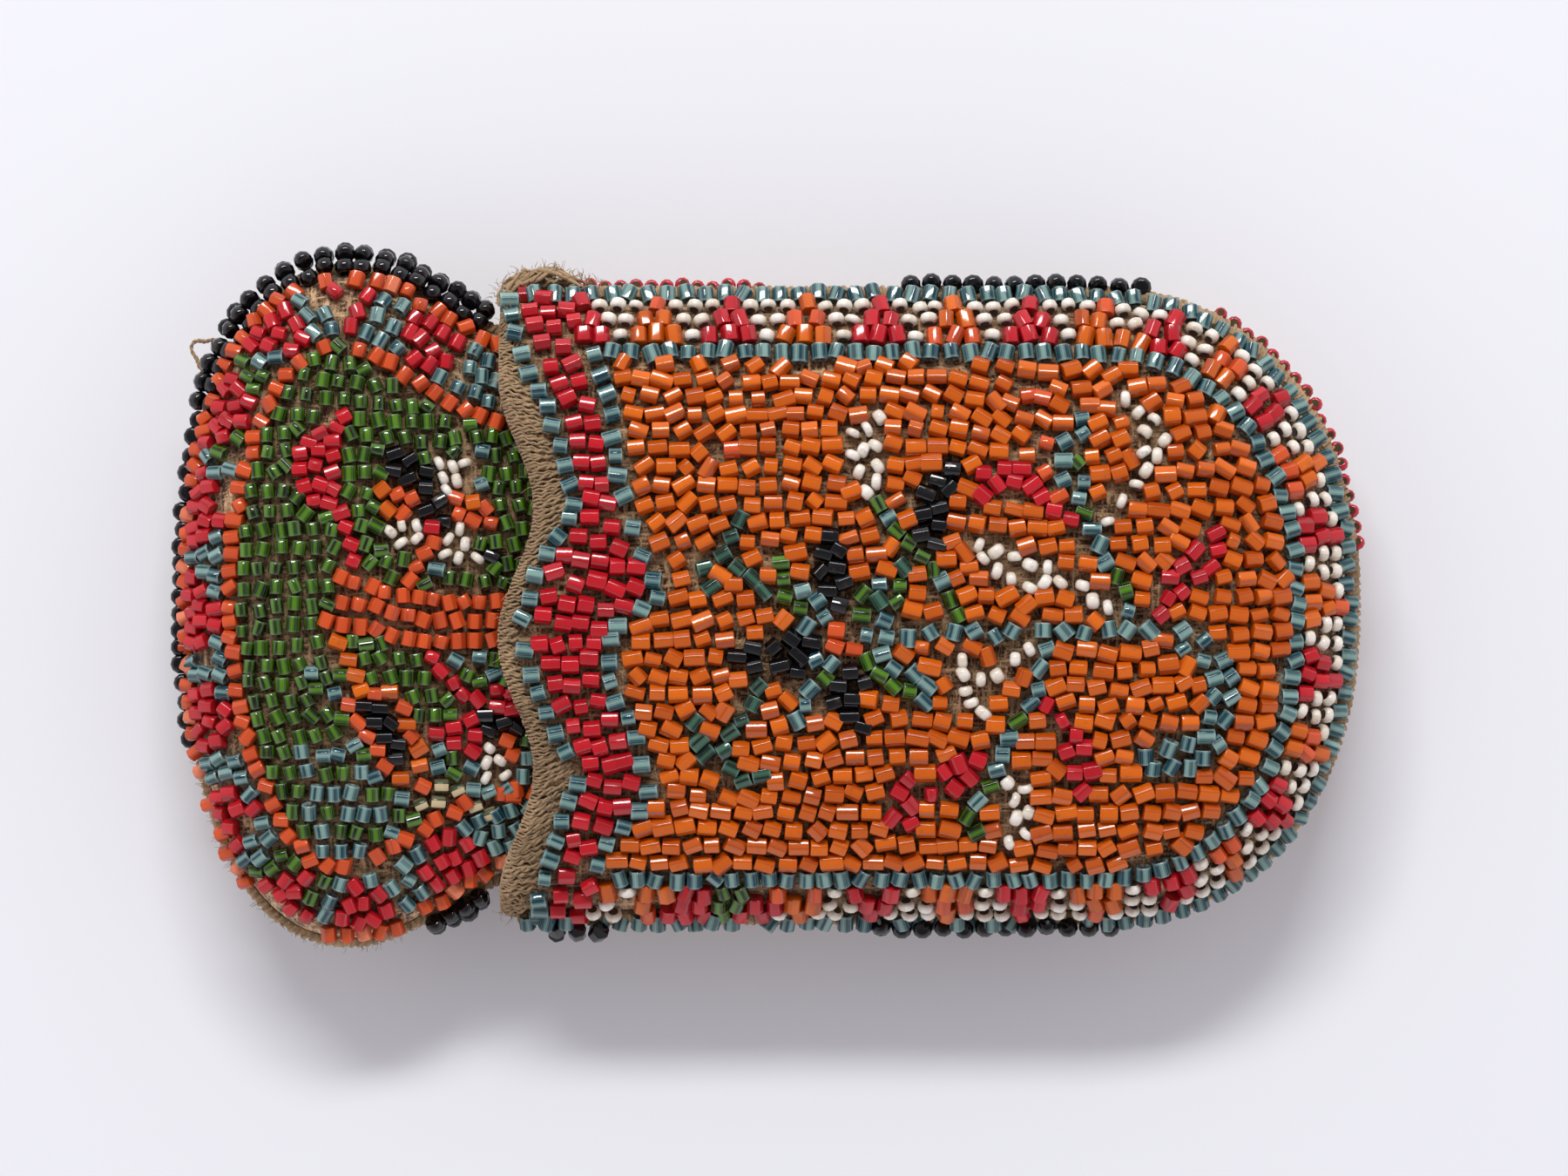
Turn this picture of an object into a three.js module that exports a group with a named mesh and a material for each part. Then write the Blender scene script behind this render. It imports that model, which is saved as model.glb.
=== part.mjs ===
// Beaded cigarette pouch, in millimetres with +Z up. It lies on its back with its length along X.
// A pocket, closed at its left end, slides by a narrow open tongue into a wider sleeve, closed at its right.
// Each is a front and a back of cloth that meet at a seam, covered with rows of glass beads.

import * as THREE from "three";

const { lerp, smoothstep } = THREE.MathUtils;

// Driving dimensions of the whole
const overallLength = 120;
const roundness = 2.3; // power of the superellipses that shape plan, section and closed ends
const clothThickness = 1.2;
const seamGap = 0.3; // between a front cloth and its back cloth
const slideClearance = 0.6; // between the pocket's beads and the lip of the sleeve's mouth

// Beads
const beadHeight = 1.8;
const beadSeat = 0.3; // gap between the cloth and the beads sewn on it
const beadPitch = 2.05; // from one row, or one bead of a string, to the next
const valleyShare = 0.15; // height of the valley between two rows, as a share of a bead
const zoneGap = 0.5; // between two neighbouring fields of beads
const laneBeads = 5; // beads in one lane of a border, counted in from the seam
const laneStart = 1.4; // bare cloth between the seam and a border
const laneEnd = laneStart + laneBeads * beadPitch;

// Pocket
const headWidth = 66.6;
const headReach = 16; // length of the head's rounded end
const headFrontCrown = 8.8;
const tongueWidth = 52.8;
const tongueFrontCrown = 6.4;
const tongueBackCrown = 4.2;
const tongueShortfall = 24; // from the tongue's open end to the sleeve's closed end
const shoulderLength = 18; // run over which the head narrows to the tongue
const beadsPastMouth = 9; // the pocket's beads go on this far inside the sleeve
const edgingShortOfMouth = 6; // the beads on the pocket's seam stop this far outside it
const hemDiameter = 1.8;

// Sleeve
const mouthBeforeShoulder = 1.4; // from the mouth's mean line to the end of the pocket's shoulder
const scallopDepth = 1.85;
const scallopPitch = 31.6;
const scallopMiddleY = -2.2;
const bindingDiameter = 1.6;
const bandSetback = 3; // from the mouth's mean line to the middle of the band's own wavy edge
const bandWaveDepth = 2.9;
const mouthBandWidth = 8.8;
const sleeveEndReach = 26; // length of the sleeve's rounded end
const backPressed = 0.98; // share of its bulge at which the back is pressed flat
// Stretches of beads left on the seam, as shares of its length from the upper corner, set below its plane
const redEdgingDrop = 0.6;
const topBlackEdging = { fromShare: 0.192, toShare: 0.31, drop: 0 };
const bottomBlackEdging = { fromShare: 0.711, toShare: 0.827, drop: 0 };
const cornerBlackEdging = { fromShare: 0.96, toShare: 0.992, drop: 0 };
const topRedEdging = { fromShare: 0.02, toShare: 0.12, drop: redEdgingDrop };
const endRedEdging = { fromShare: 0.342, toShare: 0.471, drop: redEdgingDrop };

// Fineness of the facets
const pocketClothRows = 10;
const shoulderColumns = 5;
const headColumns = 4;
const sleeveClothRows = 24;
const sleeveClothColumns = 4;
const fieldColumns = 5;
const pocketFieldColumns = 7;
const pocketBackColumns = 5;
const laneSteps = 3;
const bandColumns = 1;
const stringSides = 5;
const bindingSteps = 44;
const hemSteps = 24;
const rollSides = 6;
const edgeSamples = 160;

// Sizes that follow from those above
const beadStack = beadSeat + beadHeight;
const bindingLip = (bindingDiameter - clothThickness) / 2;
const sleeveOverTongue = beadStack + slideClearance + bindingLip + clothThickness;
const sleeveHalfWidth = tongueWidth / 2 + sleeveOverTongue;
const sleeveFrontCrown = tongueFrontCrown + sleeveOverTongue;
const sleeveBackCrown = tongueBackCrown + sleeveOverTongue;
const headBackCrown = sleeveBackCrown; // head and sleeve lie on the same surface
const seamHeight = sleeveBackCrown * backPressed + beadStack + seamGap / 2;
const sleeveEndX = overallLength / 2 - beadStack;
const sleeveEndCentreX = sleeveEndX - sleeveEndReach;
const edgingRadius = beadPitch / 2;
const headEndX = -overallLength / 2 + beadSeat + 2 * edgingRadius;
const headCentreX = headEndX + headReach;
const shoulderEndX = headCentreX + shoulderLength;
const mouthMeanX = shoulderEndX - mouthBeforeShoulder;
const pocketBeadsEndX = mouthMeanX + beadsPastMouth;
const pocketEdgingEndX = mouthMeanX - edgingShortOfMouth;
const tongueEndX = sleeveEndX - tongueShortfall;

// Materials
const finish = (color, roughness) => new THREE.MeshStandardMaterial({ color, roughness, metalness: 0 });
const cloth = finish(0x8a6f4d, 0.95);
const stitching = finish(0x7d6647, 0.9);
const orangeBeads = finish(0xc9560f, 0.3);
const redBeads = finish(0xb3182a, 0.25);
const whiteBeads = finish(0xe6dfd0, 0.35);
const greenBeads = finish(0x2c5a1c, 0.15);
const blackBeads = finish(0x0c0c0f, 0.12);

// One side of a pouch: the cloth's outer face above (side 1) or below (side -1) the seam's plane.
// The closed end points along direction, and halfWidth and crown give the section at x.
class PouchSide {
  constructor({ side, direction, endCentreX, endReach, halfWidth, crown, pressed = 1 }) {
    Object.assign(this, { side, direction, endCentreX, endReach, halfWidth, crown, pressed });
  }

  // 0 on the centre line and 1 on the seam, raised to the power of the superellipse
  level(x, y) {
    const along = Math.max(0, this.direction * (x - this.endCentreX)) / this.endReach;
    return along ** roundness + Math.abs(y / this.halfWidth(x)) ** roundness;
  }

  rise(x, y) {
    return Math.max(0, 1 - this.level(x, y)) ** (1 / roundness);
  }

  // Outward normal from the surface's implicit equation, so that it is level at the seam
  normal(x, y) {
    const rise = this.rise(x, y);
    if (rise > this.pressed) return new THREE.Vector3(0, 0, this.side);
    const step = 1e-4;
    const slopeX = (this.level(x + step, y) - this.level(x - step, y)) / (2 * step);
    const slopeY = (this.level(x, y + step) - this.level(x, y - step)) / (2 * step);
    const slopeZ = (roundness * rise ** (roundness - 1)) / this.crown(x);
    return new THREE.Vector3(slopeX, slopeY, this.side * slopeZ).normalize();
  }

  // The point over plan position x, y, lifted off the cloth along its normal
  point([x, y], lift = 0) {
    const height = this.crown(x) * Math.min(this.rise(x, y), this.pressed);
    const base = new THREE.Vector3(x, y, seamHeight + this.side * (seamGap / 2 + height));
    return base.addScaledVector(this.normal(x, y), lift);
  }

  // Where the seam's closed end lies at a share of the half width, taken in by a margin
  endX(share, margin = 0) {
    const reach = (this.endReach - margin) * Math.max(0, 1 - Math.abs(share) ** roundness) ** (1 / roundness);
    return this.endCentreX + this.direction * reach;
  }
}

// The section across a pouch side at x, from seam to seam, as plan y and height
class SectionLine extends THREE.Curve {
  constructor(pouchSide, x) {
    super();
    Object.assign(this, { pouchSide, x });
  }

  getPoint(t, target = new THREE.Vector2()) {
    const angle = Math.PI * (t - 0.5);
    const share = Math.sign(Math.sin(angle)) * Math.abs(Math.sin(angle)) ** (2 / roundness);
    const height = Math.cos(angle) ** (2 / roundness);
    return target.set(share * this.pouchSide.halfWidth(this.x), height * this.pouchSide.crown(this.x));
  }

  // Plan y at a length along the section from its first seam
  yAt(length) {
    return this.getPointAt(length / this.getLength()).x;
  }

  // How far in from the seam, in plan, a length along the section reaches
  insetAt(length) {
    return this.pouchSide.halfWidth(this.x) + this.yAt(length);
  }
}

// The seam in plan: along the upper edge from x = startX, round the closed end, back along the lower edge
class SeamLine extends THREE.Curve {
  constructor(pouchSide, startX) {
    super();
    Object.assign(this, { pouchSide, startX });
  }

  getPoint(t, target = new THREE.Vector2()) {
    const { endCentreX, endReach, direction, halfWidth } = this.pouchSide;
    const stretch = 3 * t;
    if (stretch > 1 && stretch < 2) {
      const angle = Math.PI * (1.5 - stretch);
      const along = Math.cos(angle) ** (2 / roundness);
      const share = Math.sign(angle) * Math.abs(Math.sin(angle)) ** (2 / roundness);
      return target.set(endCentreX + direction * endReach * along, share * halfWidth(endCentreX));
    }
    const travelled = stretch <= 1 ? stretch : 3 - stretch;
    const x = lerp(this.startX, endCentreX, travelled);
    return target.set(x, (stretch <= 1 ? 1 : -1) * halfWidth(x));
  }

  // Plan point at a share of the seam's length, moved in from the seam
  inset(u, distance) {
    const { x, y } = this.getPointAt(u);
    const tangent = this.getTangentAt(u);
    const inward = this.pouchSide.direction;
    return [x + inward * tangent.y * distance, y - inward * tangent.x * distance];
  }
}

// A mesh geometry from vertices and flat faces, each a fan from its first corner, turned to face outwards
function closedGeometry(vertices, faces) {
  const triangles = faces.flatMap((face) => face.slice(2).map((corner, k) => [face[0], face[k + 1], corner]));
  const volume = triangles.reduce((sum, [a, b, c]) => {
    const spanned = new THREE.Vector3().crossVectors(vertices[b], vertices[c]);
    return sum + vertices[a].dot(spanned);
  }, 0);
  if (volume < 0) triangles.forEach((triangle) => triangle.reverse());
  const geometry = new THREE.BufferGeometry().setFromPoints(vertices);
  geometry.setIndex(triangles.flat());
  geometry.computeVertexNormals();
  return geometry;
}

// A closed sheet over lines of plan points. On top, line i is lifted by lifts[i];
// underneath, every step-th line is lifted by low.
function sheetGeometry(pouchSide, lines, lifts, low, step) {
  const columns = lines[0].length;
  const last = columns - 1;
  const end = lines.length - 1;
  const over = lines.flatMap((line, i) => line.map((place) => pouchSide.point(place, lifts[i])));
  const underLines = lines.filter((_, i) => i % step === 0);
  const under = underLines.flatMap((line) => line.map((place) => pouchSide.point(place, low)));
  const top = (i, j) => i * columns + j;
  const base = (i, j) => over.length + (i / step) * columns + j;
  const faces = [];
  for (let j = 0; j < last; j++) {
    for (let i = 0; i < end; i++) faces.push([top(i, j), top(i + 1, j), top(i + 1, j + 1), top(i, j + 1)]);
    for (let i = 0; i < end; i += step)
      faces.push([base(i, j), base(i, j + 1), base(i + step, j + 1), base(i + step, j)]);
    faces.push([base(0, j), top(0, j), top(0, j + 1), base(0, j + 1)]);
    faces.push([base(end, j), base(end, j + 1), top(end, j + 1), top(end, j)]);
  }
  for (let i = 0; i < end; i += step) {
    const wall = (j) => {
      const ridge = Array.from({ length: step }, (_, k) => top(i + k, j));
      return [ridge[step - 1], top(i + step, j), base(i + step, j), base(i, j), ...ridge.slice(0, -1)];
    };
    faces.push(wall(last));
    faces.push(wall(0).reverse());
  }
  return closedGeometry([...over, ...under], faces);
}

// One row of beads across its width: places from valley to valley and their heights, as shares of a bead
const roundRow = [
  { at: 0, height: valleyShare },
  { at: 0.5, height: 1 },
];
const pressedRow = [
  { at: 0, height: valleyShare },
  { at: 0.28, height: 1 },
  { at: 0.72, height: 1 },
];

// A field of rows side by side. planLine(share) gives the plan points of the line at a share of its breadth.
function rowsGeometry(pouchSide, rows, profile, planLine) {
  const places = Array.from({ length: rows }, (_, row) =>
    profile.map(({ at, height }) => ({ share: (row + at) / rows, lift: beadSeat + height * beadHeight })),
  ).flat();
  places.push({ share: 1, lift: places[0].lift });
  const lines = places.map(({ share }) => planLine(share));
  const lifts = places.map(({ lift }) => lift);
  return sheetGeometry(pouchSide, lines, lifts, beadSeat, profile.length);
}

// A plain sheet of cloth over lines of plan points
function clothGeometry(pouchSide, lines) {
  return sheetGeometry(pouchSide, lines, lines.map(() => 0), -clothThickness, 1);
}

// Evenly spaced shares from 0 to 1
const evenShares = (count) => Array.from({ length: count + 1 }, (_, i) => i / count);

// Shares from 0 to 1, closer together towards 1 where a closed end curves most
const easedShares = (count) => evenShares(count).map((share) => Math.sin((Math.PI / 2) * share));

// A string of touching beads along a curve that lies level: a tube whose radius swells at each bead
function beadString(curve, radius) {
  const beads = Math.max(2, Math.round(curve.getLength() / beadPitch));
  const waist = radius * 0.55;
  const up = new THREE.Vector3(0, 0, 1);
  const vertices = [];
  for (let ring = 0; ring <= 2 * beads; ring++) {
    const u = ring / (2 * beads);
    const centre = curve.getPointAt(u);
    const sideways = new THREE.Vector3().crossVectors(up, curve.getTangentAt(u)).normalize();
    const size = ring % 2 ? radius : waist;
    for (let k = 0; k < stringSides; k++) {
      const angle = (2 * Math.PI * k) / stringSides;
      const spoke = sideways.clone().multiplyScalar(Math.cos(angle) * size);
      vertices.push(centre.clone().add(spoke).addScaledVector(up, Math.sin(angle) * size));
    }
  }
  const at = (ring, k) => ring * stringSides + (k % stringSides);
  const faces = [];
  for (let ring = 0; ring < 2 * beads; ring++)
    for (let k = 0; k < stringSides; k++)
      faces.push([at(ring, k), at(ring, k + 1), at(ring + 1, k + 1), at(ring + 1, k)]);
  for (let k = 1; k < stringSides - 1; k++) {
    faces.push([at(0, 0), at(0, k + 1), at(0, k)]);
    faces.push([at(2 * beads, 0), at(2 * beads, k), at(2 * beads, k + 1)]);
  }
  return closedGeometry(vertices, faces);
}

// A level curve through points beside the seam, for a string of beads at a height above the seam's plane
function besideSeam(seam, fromShare, toShare, outset, height) {
  const steps = 24;
  const points = evenShares(steps).map((share) => {
    const [x, y] = seam.inset(lerp(fromShare, toShare, share), -outset);
    return new THREE.Vector3(x, y, seamHeight + height);
  });
  return new THREE.CatmullRomCurve3(points);
}

// Plan points along a border's inner edge, moved in by the gap to the field
function borderInnerEdge(pouchSide, startX) {
  const seam = new SeamLine(pouchSide, startX);
  const inset = new SectionLine(pouchSide, pouchSide.endCentreX).insetAt(laneEnd) + zoneGap;
  return evenShares(edgeSamples).map((u) => seam.inset(u, inset));
}

// Where a line of plan points passes a value of x (axis 0) or y (axis 1): the other coordinate there
function crossings(line, axis, value) {
  return line.slice(1).flatMap((after, i) => {
    const before = line[i];
    const share = (value - before[axis]) / (after[axis] - before[axis]);
    return share >= 0 && share <= 1 ? [lerp(before[1 - axis], after[1 - axis], share)] : [];
  });
}

// The pocket

const shoulder = (x, headSize, tongueSize) =>
  lerp(headSize, tongueSize, smoothstep(x, headCentreX, shoulderEndX));
const pocketShape = {
  direction: -1,
  endCentreX: headCentreX,
  endReach: headReach,
  halfWidth: (x) => shoulder(x, headWidth, tongueWidth) / 2,
};
const pocketFront = new PouchSide({
  ...pocketShape,
  side: 1,
  crown: (x) => shoulder(x, headFrontCrown, tongueFrontCrown),
});
const pocketBack = new PouchSide({
  ...pocketShape,
  side: -1,
  crown: (x) => shoulder(x, headBackCrown, tongueBackCrown),
  pressed: backPressed,
});

// Cloth from the tongue's open end over the shoulder to the closed end
function pocketCloth(pouchSide) {
  const endStartX = headCentreX + shoulderLength / 4;
  const lines = evenShares(pocketClothRows).map((row) => {
    const share = Math.sin(Math.PI * (row - 0.5));
    const endX = pouchSide.endX(share);
    const overShoulder = evenShares(shoulderColumns).map((t) => lerp(shoulderEndX, endStartX, t));
    const overEnd = easedShares(headColumns).map((t) => lerp(endStartX, endX, t));
    const stations = [tongueEndX, ...overShoulder, ...overEnd.slice(1)];
    return stations.map((x) => [x, share * pouchSide.halfWidth(x)]);
  });
  return clothGeometry(pouchSide, lines);
}

// Rows of beads across the head, inside the border
function pocketField(pouchSide, columns) {
  const edge = borderInnerEdge(pouchSide, pocketBeadsEndX);
  const firstX = Math.min(...edge.map(([x]) => x)) + beadPitch;
  const rows = Math.floor((pocketBeadsEndX - firstX) / beadPitch);
  return rowsGeometry(pouchSide, rows, roundRow, (along) => {
    const x = firstX + along * rows * beadPitch;
    const half = Math.min(...crossings(edge, 0, x).map(Math.abs));
    return evenShares(columns).map((share) => [x, half * (2 * share - 1)]);
  });
}

// Lanes of beads square to the seam, side by side from startX round the closed end and back
function border(pouchSide, startX) {
  const seam = new SeamLine(pouchSide, startX);
  const section = new SectionLine(pouchSide, pouchSide.endCentreX);
  const lanes = Math.floor(seam.getLength() / beadPitch);
  const insets = evenShares(laneSteps).map((share) =>
    section.insetAt(lerp(laneStart, laneEnd, share)),
  );
  return rowsGeometry(pouchSide, lanes, roundRow, (u) => insets.map((inset) => seam.inset(u, inset)));
}

// Beads sewn along the seam round the pocket's head
function pocketEdging() {
  const seam = new SeamLine(pocketFront, pocketEdgingEndX);
  return beadString(besideSeam(seam, 0, 1, beadSeat + edgingRadius, 0), edgingRadius);
}

// A closed roll round an open mouth, laid against the edges of front and back cloth
function mouthRoll(front, back, edgeX, diameter, steps) {
  const around = evenShares(steps).slice(0, -1);
  const points = around.map((turn) => {
    const pouchSide = turn < 0.5 ? front : back;
    const share = Math.sin(Math.PI * (2 * (turn % 0.5) - 0.5)) * (turn < 0.5 ? 1 : -1);
    const x = edgeX(share * pouchSide.halfWidth(0));
    return pouchSide.point([x, share * pouchSide.halfWidth(x)], -clothThickness / 2);
  });
  const path = new THREE.CatmullRomCurve3(points, true);
  return new THREE.TubeGeometry(path, steps, diameter / 2, rollSides, true);
}

// The sleeve

const sleeveShape = {
  direction: 1,
  endCentreX: sleeveEndCentreX,
  endReach: sleeveEndReach,
  halfWidth: () => sleeveHalfWidth,
};
const sleeveFront = new PouchSide({ ...sleeveShape, side: 1, crown: () => sleeveFrontCrown });
const sleeveBack = new PouchSide({
  ...sleeveShape,
  side: -1,
  crown: () => sleeveBackCrown,
  pressed: backPressed,
});

// The wavy edge of the sleeve's mouth
const scallopTurn = (y) => (2 * Math.PI * (y - scallopMiddleY)) / scallopPitch;
const mouthX = (y) => mouthMeanX - scallopDepth * Math.cos(scallopTurn(y));
const sleeveClothStartX = (y) => mouthX(y) + bindingDiameter + zoneGap;
const bandStartX = (y) => mouthMeanX + bandSetback - bandWaveDepth * Math.cos(scallopTurn(y));
const bandEndX = (y) => bandStartX(y) + mouthBandWidth;

// Cloth from the mouth to the closed end
function sleeveCloth(pouchSide) {
  const lines = evenShares(sleeveClothRows).map((row) => {
    const share = Math.sin(Math.PI * (row - 0.5));
    const y = share * sleeveHalfWidth;
    return easedShares(sleeveClothColumns).map((t) => [
      lerp(sleeveClothStartX(y), pouchSide.endX(share), t),
      y,
    ]);
  });
  return clothGeometry(pouchSide, lines);
}

// Rows of beads along the sleeve, a margin in from the seam, each line from fromX(y) to toX(y)
function sleeveRows(pouchSide, profile, margin, fromX, toX, shares) {
  const section = new SectionLine(pouchSide, 0);
  const span = section.getLength() - 2 * margin;
  const rows = Math.floor(span / beadPitch);
  const start = margin + (span - rows * beadPitch) / 2;
  return rowsGeometry(pouchSide, rows, profile, (across) => {
    const y = section.yAt(start + across * rows * beadPitch);
    return shares.map((t) => [lerp(fromX(y), toX(y), t), y]);
  });
}

// The field inside the border, from the mouth's band to the closed end
function sleeveField(pouchSide, profile) {
  const edge = borderInnerEdge(pouchSide, mouthMeanX);
  const toX = (y) => Math.max(...crossings(edge, 1, y));
  const fromX = (y) => bandEndX(y) + zoneGap;
  return sleeveRows(pouchSide, profile, laneEnd + 2 * zoneGap, fromX, toX, easedShares(fieldColumns));
}

// The band that follows the mouth from seam to seam
function mouthBand(pouchSide) {
  return sleeveRows(pouchSide, roundRow, laneStart, bandStartX, bandEndX, evenShares(bandColumns));
}

// A string of beads along a stretch of the sleeve's seam, from one share of its length to another
function sleeveEdging({ fromShare, toShare, drop }) {
  const seam = new SeamLine(sleeveFront, mouthMeanX);
  return beadString(besideSeam(seam, fromShare, toShare, beadSeat + edgingRadius, -drop), edgingRadius);
}

// The assembly: each mesh is one piece, named as a person would call it

const pouch = new THREE.Group();
function place(name, geometry, material) {
  const mesh = new THREE.Mesh(geometry, material);
  mesh.name = name;
  pouch.add(mesh);
}

const borderInset = new SectionLine(sleeveFront, 0).insetAt(laneEnd);
const bandEdges = evenShares(laneBeads).map((share) => sleeveHalfWidth - share * borderInset);
const bandReach = Math.max(...bandEdges.map((y) => Math.max(bandEndX(y), bandEndX(-y))));
const borderStartX = bandReach + zoneGap;
const bindingX = (y) => mouthX(y) + bindingDiameter / 2;
const hemX = () => tongueEndX + zoneGap + hemDiameter / 2;
const sleeveRoll = mouthRoll(sleeveFront, sleeveBack, bindingX, bindingDiameter, bindingSteps);
const tongueHem = mouthRoll(pocketFront, pocketBack, hemX, hemDiameter, hemSteps);

place("sleeve_front_cloth", sleeveCloth(sleeveFront), cloth);
place("sleeve_back_cloth", sleeveCloth(sleeveBack), cloth);
place("sleeve_mouth_binding", sleeveRoll, stitching);
place("sleeve_mouth_band_beads", mouthBand(sleeveFront), redBeads);
place("sleeve_field_beads", sleeveField(sleeveFront, roundRow), orangeBeads);
place("sleeve_border_beads", border(sleeveFront, borderStartX), whiteBeads);
place("sleeve_back_field_beads", sleeveField(sleeveBack, pressedRow), orangeBeads);
place("sleeve_top_black_edging", sleeveEdging(topBlackEdging), blackBeads);
place("sleeve_bottom_black_edging", sleeveEdging(bottomBlackEdging), blackBeads);
place("sleeve_corner_black_edging", sleeveEdging(cornerBlackEdging), blackBeads);
place("sleeve_top_red_edging", sleeveEdging(topRedEdging), redBeads);
place("sleeve_end_red_edging", sleeveEdging(endRedEdging), redBeads);
place("pocket_front_cloth", pocketCloth(pocketFront), cloth);
place("pocket_back_cloth", pocketCloth(pocketBack), cloth);
place("pocket_tongue_hem", tongueHem, stitching);
place("pocket_field_beads", pocketField(pocketFront, pocketFieldColumns), greenBeads);
place("pocket_border_beads", border(pocketFront, pocketBeadsEndX), redBeads);
place("pocket_back_field_beads", pocketField(pocketBack, pocketBackColumns), greenBeads);
place("pocket_edging_beads", pocketEdging(), blackBeads);

export default pouch;
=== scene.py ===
"""Looks of a beaded two-part pouch: glass beads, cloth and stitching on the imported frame."""

import logging
import math
import random
from abc import ABC, abstractmethod
from bisect import bisect_right
from collections.abc import Callable, Iterator, Sequence
from dataclasses import dataclass, field
from enum import Enum
from typing import ClassVar

import bmesh
import bpy
from mathutils import Matrix, Vector, noise


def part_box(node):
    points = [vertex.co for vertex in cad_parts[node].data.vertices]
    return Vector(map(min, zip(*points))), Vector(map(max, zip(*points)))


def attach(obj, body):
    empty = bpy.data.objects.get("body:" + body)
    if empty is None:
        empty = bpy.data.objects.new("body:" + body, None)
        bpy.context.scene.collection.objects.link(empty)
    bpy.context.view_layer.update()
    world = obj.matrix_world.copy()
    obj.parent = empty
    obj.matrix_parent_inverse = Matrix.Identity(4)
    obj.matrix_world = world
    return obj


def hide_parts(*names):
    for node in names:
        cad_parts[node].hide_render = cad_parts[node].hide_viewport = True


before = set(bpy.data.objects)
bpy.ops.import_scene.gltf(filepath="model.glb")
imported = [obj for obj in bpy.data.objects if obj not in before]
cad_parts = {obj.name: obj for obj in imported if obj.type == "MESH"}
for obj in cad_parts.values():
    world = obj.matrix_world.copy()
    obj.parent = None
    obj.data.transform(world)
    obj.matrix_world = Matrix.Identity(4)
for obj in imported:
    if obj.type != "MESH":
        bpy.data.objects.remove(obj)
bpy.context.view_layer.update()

log = logging.getLogger("pouch")

MM = 0.001
ROUNDNESS = 2.3
SEAM_GAP = 0.3 * MM
TINT = "bead_tint"
FACET_SHADE_AND_TONE = "bead_facet_shade_and_tone"
ACROSS = "bead_across"
ALONG = "bead_along"
# marks cloth that is painted darker under beads: painted shade
BEAD_SHADE = "cloth_bead_shade"
BEAD_MIDDLE = 0.9 * MM
FILL_TRIES = 16000

Rgb = tuple[int, int, int]
Place = tuple[float, float]
Stops = tuple[tuple[float, float, float, float], ...]
Value = "float | Wire"


def linear(colour: Rgb) -> tuple[float, float, float, float]:
    """Turn a display colour into the linear one that shaders take.

    Args:
        colour: Red, green and blue from 0 to 255.

    Returns:
        Red, green, blue and alpha from 0 to 1.
    """
    shares = [channel / 255 for channel in colour]
    red, green, blue = (s / 12.92 if s <= 0.04045 else ((s + 0.055) / 1.055) ** 2.4 for s in shares)
    return red, green, blue, 1.0


def between(low: float, high: float, share: float) -> float:
    """Give the value at a share of the way from low to high."""
    return low + (high - low) * share


def smooth(value: float, low: float, high: float) -> float:
    """Ease from 0 at low to 1 at high."""
    share = min(1.0, max(0.0, (value - low) / (high - low)))
    return share * share * (3 - 2 * share)


class Wire:
    """A shader socket that takes part in Python arithmetic."""

    def __init__(self, shader: "Shader", socket: bpy.types.NodeSocket) -> None:
        """Hold the socket and the shader it belongs to."""
        self.shader = shader
        self.socket = socket

    def _math(self, operation: str, first: Value, second: Value) -> "Wire":
        """Make one math node of two values."""
        return self.shader.node("ShaderNodeMath", {"operation": operation}, {0: first, 1: second})

    def __add__(self, other: Value) -> "Wire":
        """Add."""
        return self._math("ADD", self, other)

    def __radd__(self, other: Value) -> "Wire":
        """Add to a number."""
        return self._math("ADD", other, self)

    def __sub__(self, other: Value) -> "Wire":
        """Subtract."""
        return self._math("SUBTRACT", self, other)

    def __rsub__(self, other: Value) -> "Wire":
        """Subtract from a number."""
        return self._math("SUBTRACT", other, self)

    def __mul__(self, other: Value) -> "Wire":
        """Multiply."""
        return self._math("MULTIPLY", self, other)

    def __rmul__(self, other: Value) -> "Wire":
        """Multiply a number."""
        return self._math("MULTIPLY", other, self)

    def limited(self) -> "Wire":
        """Keep the value from 0 to 1."""
        return self.shader.node("ShaderNodeClamp", {}, {"Value": self})


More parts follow.
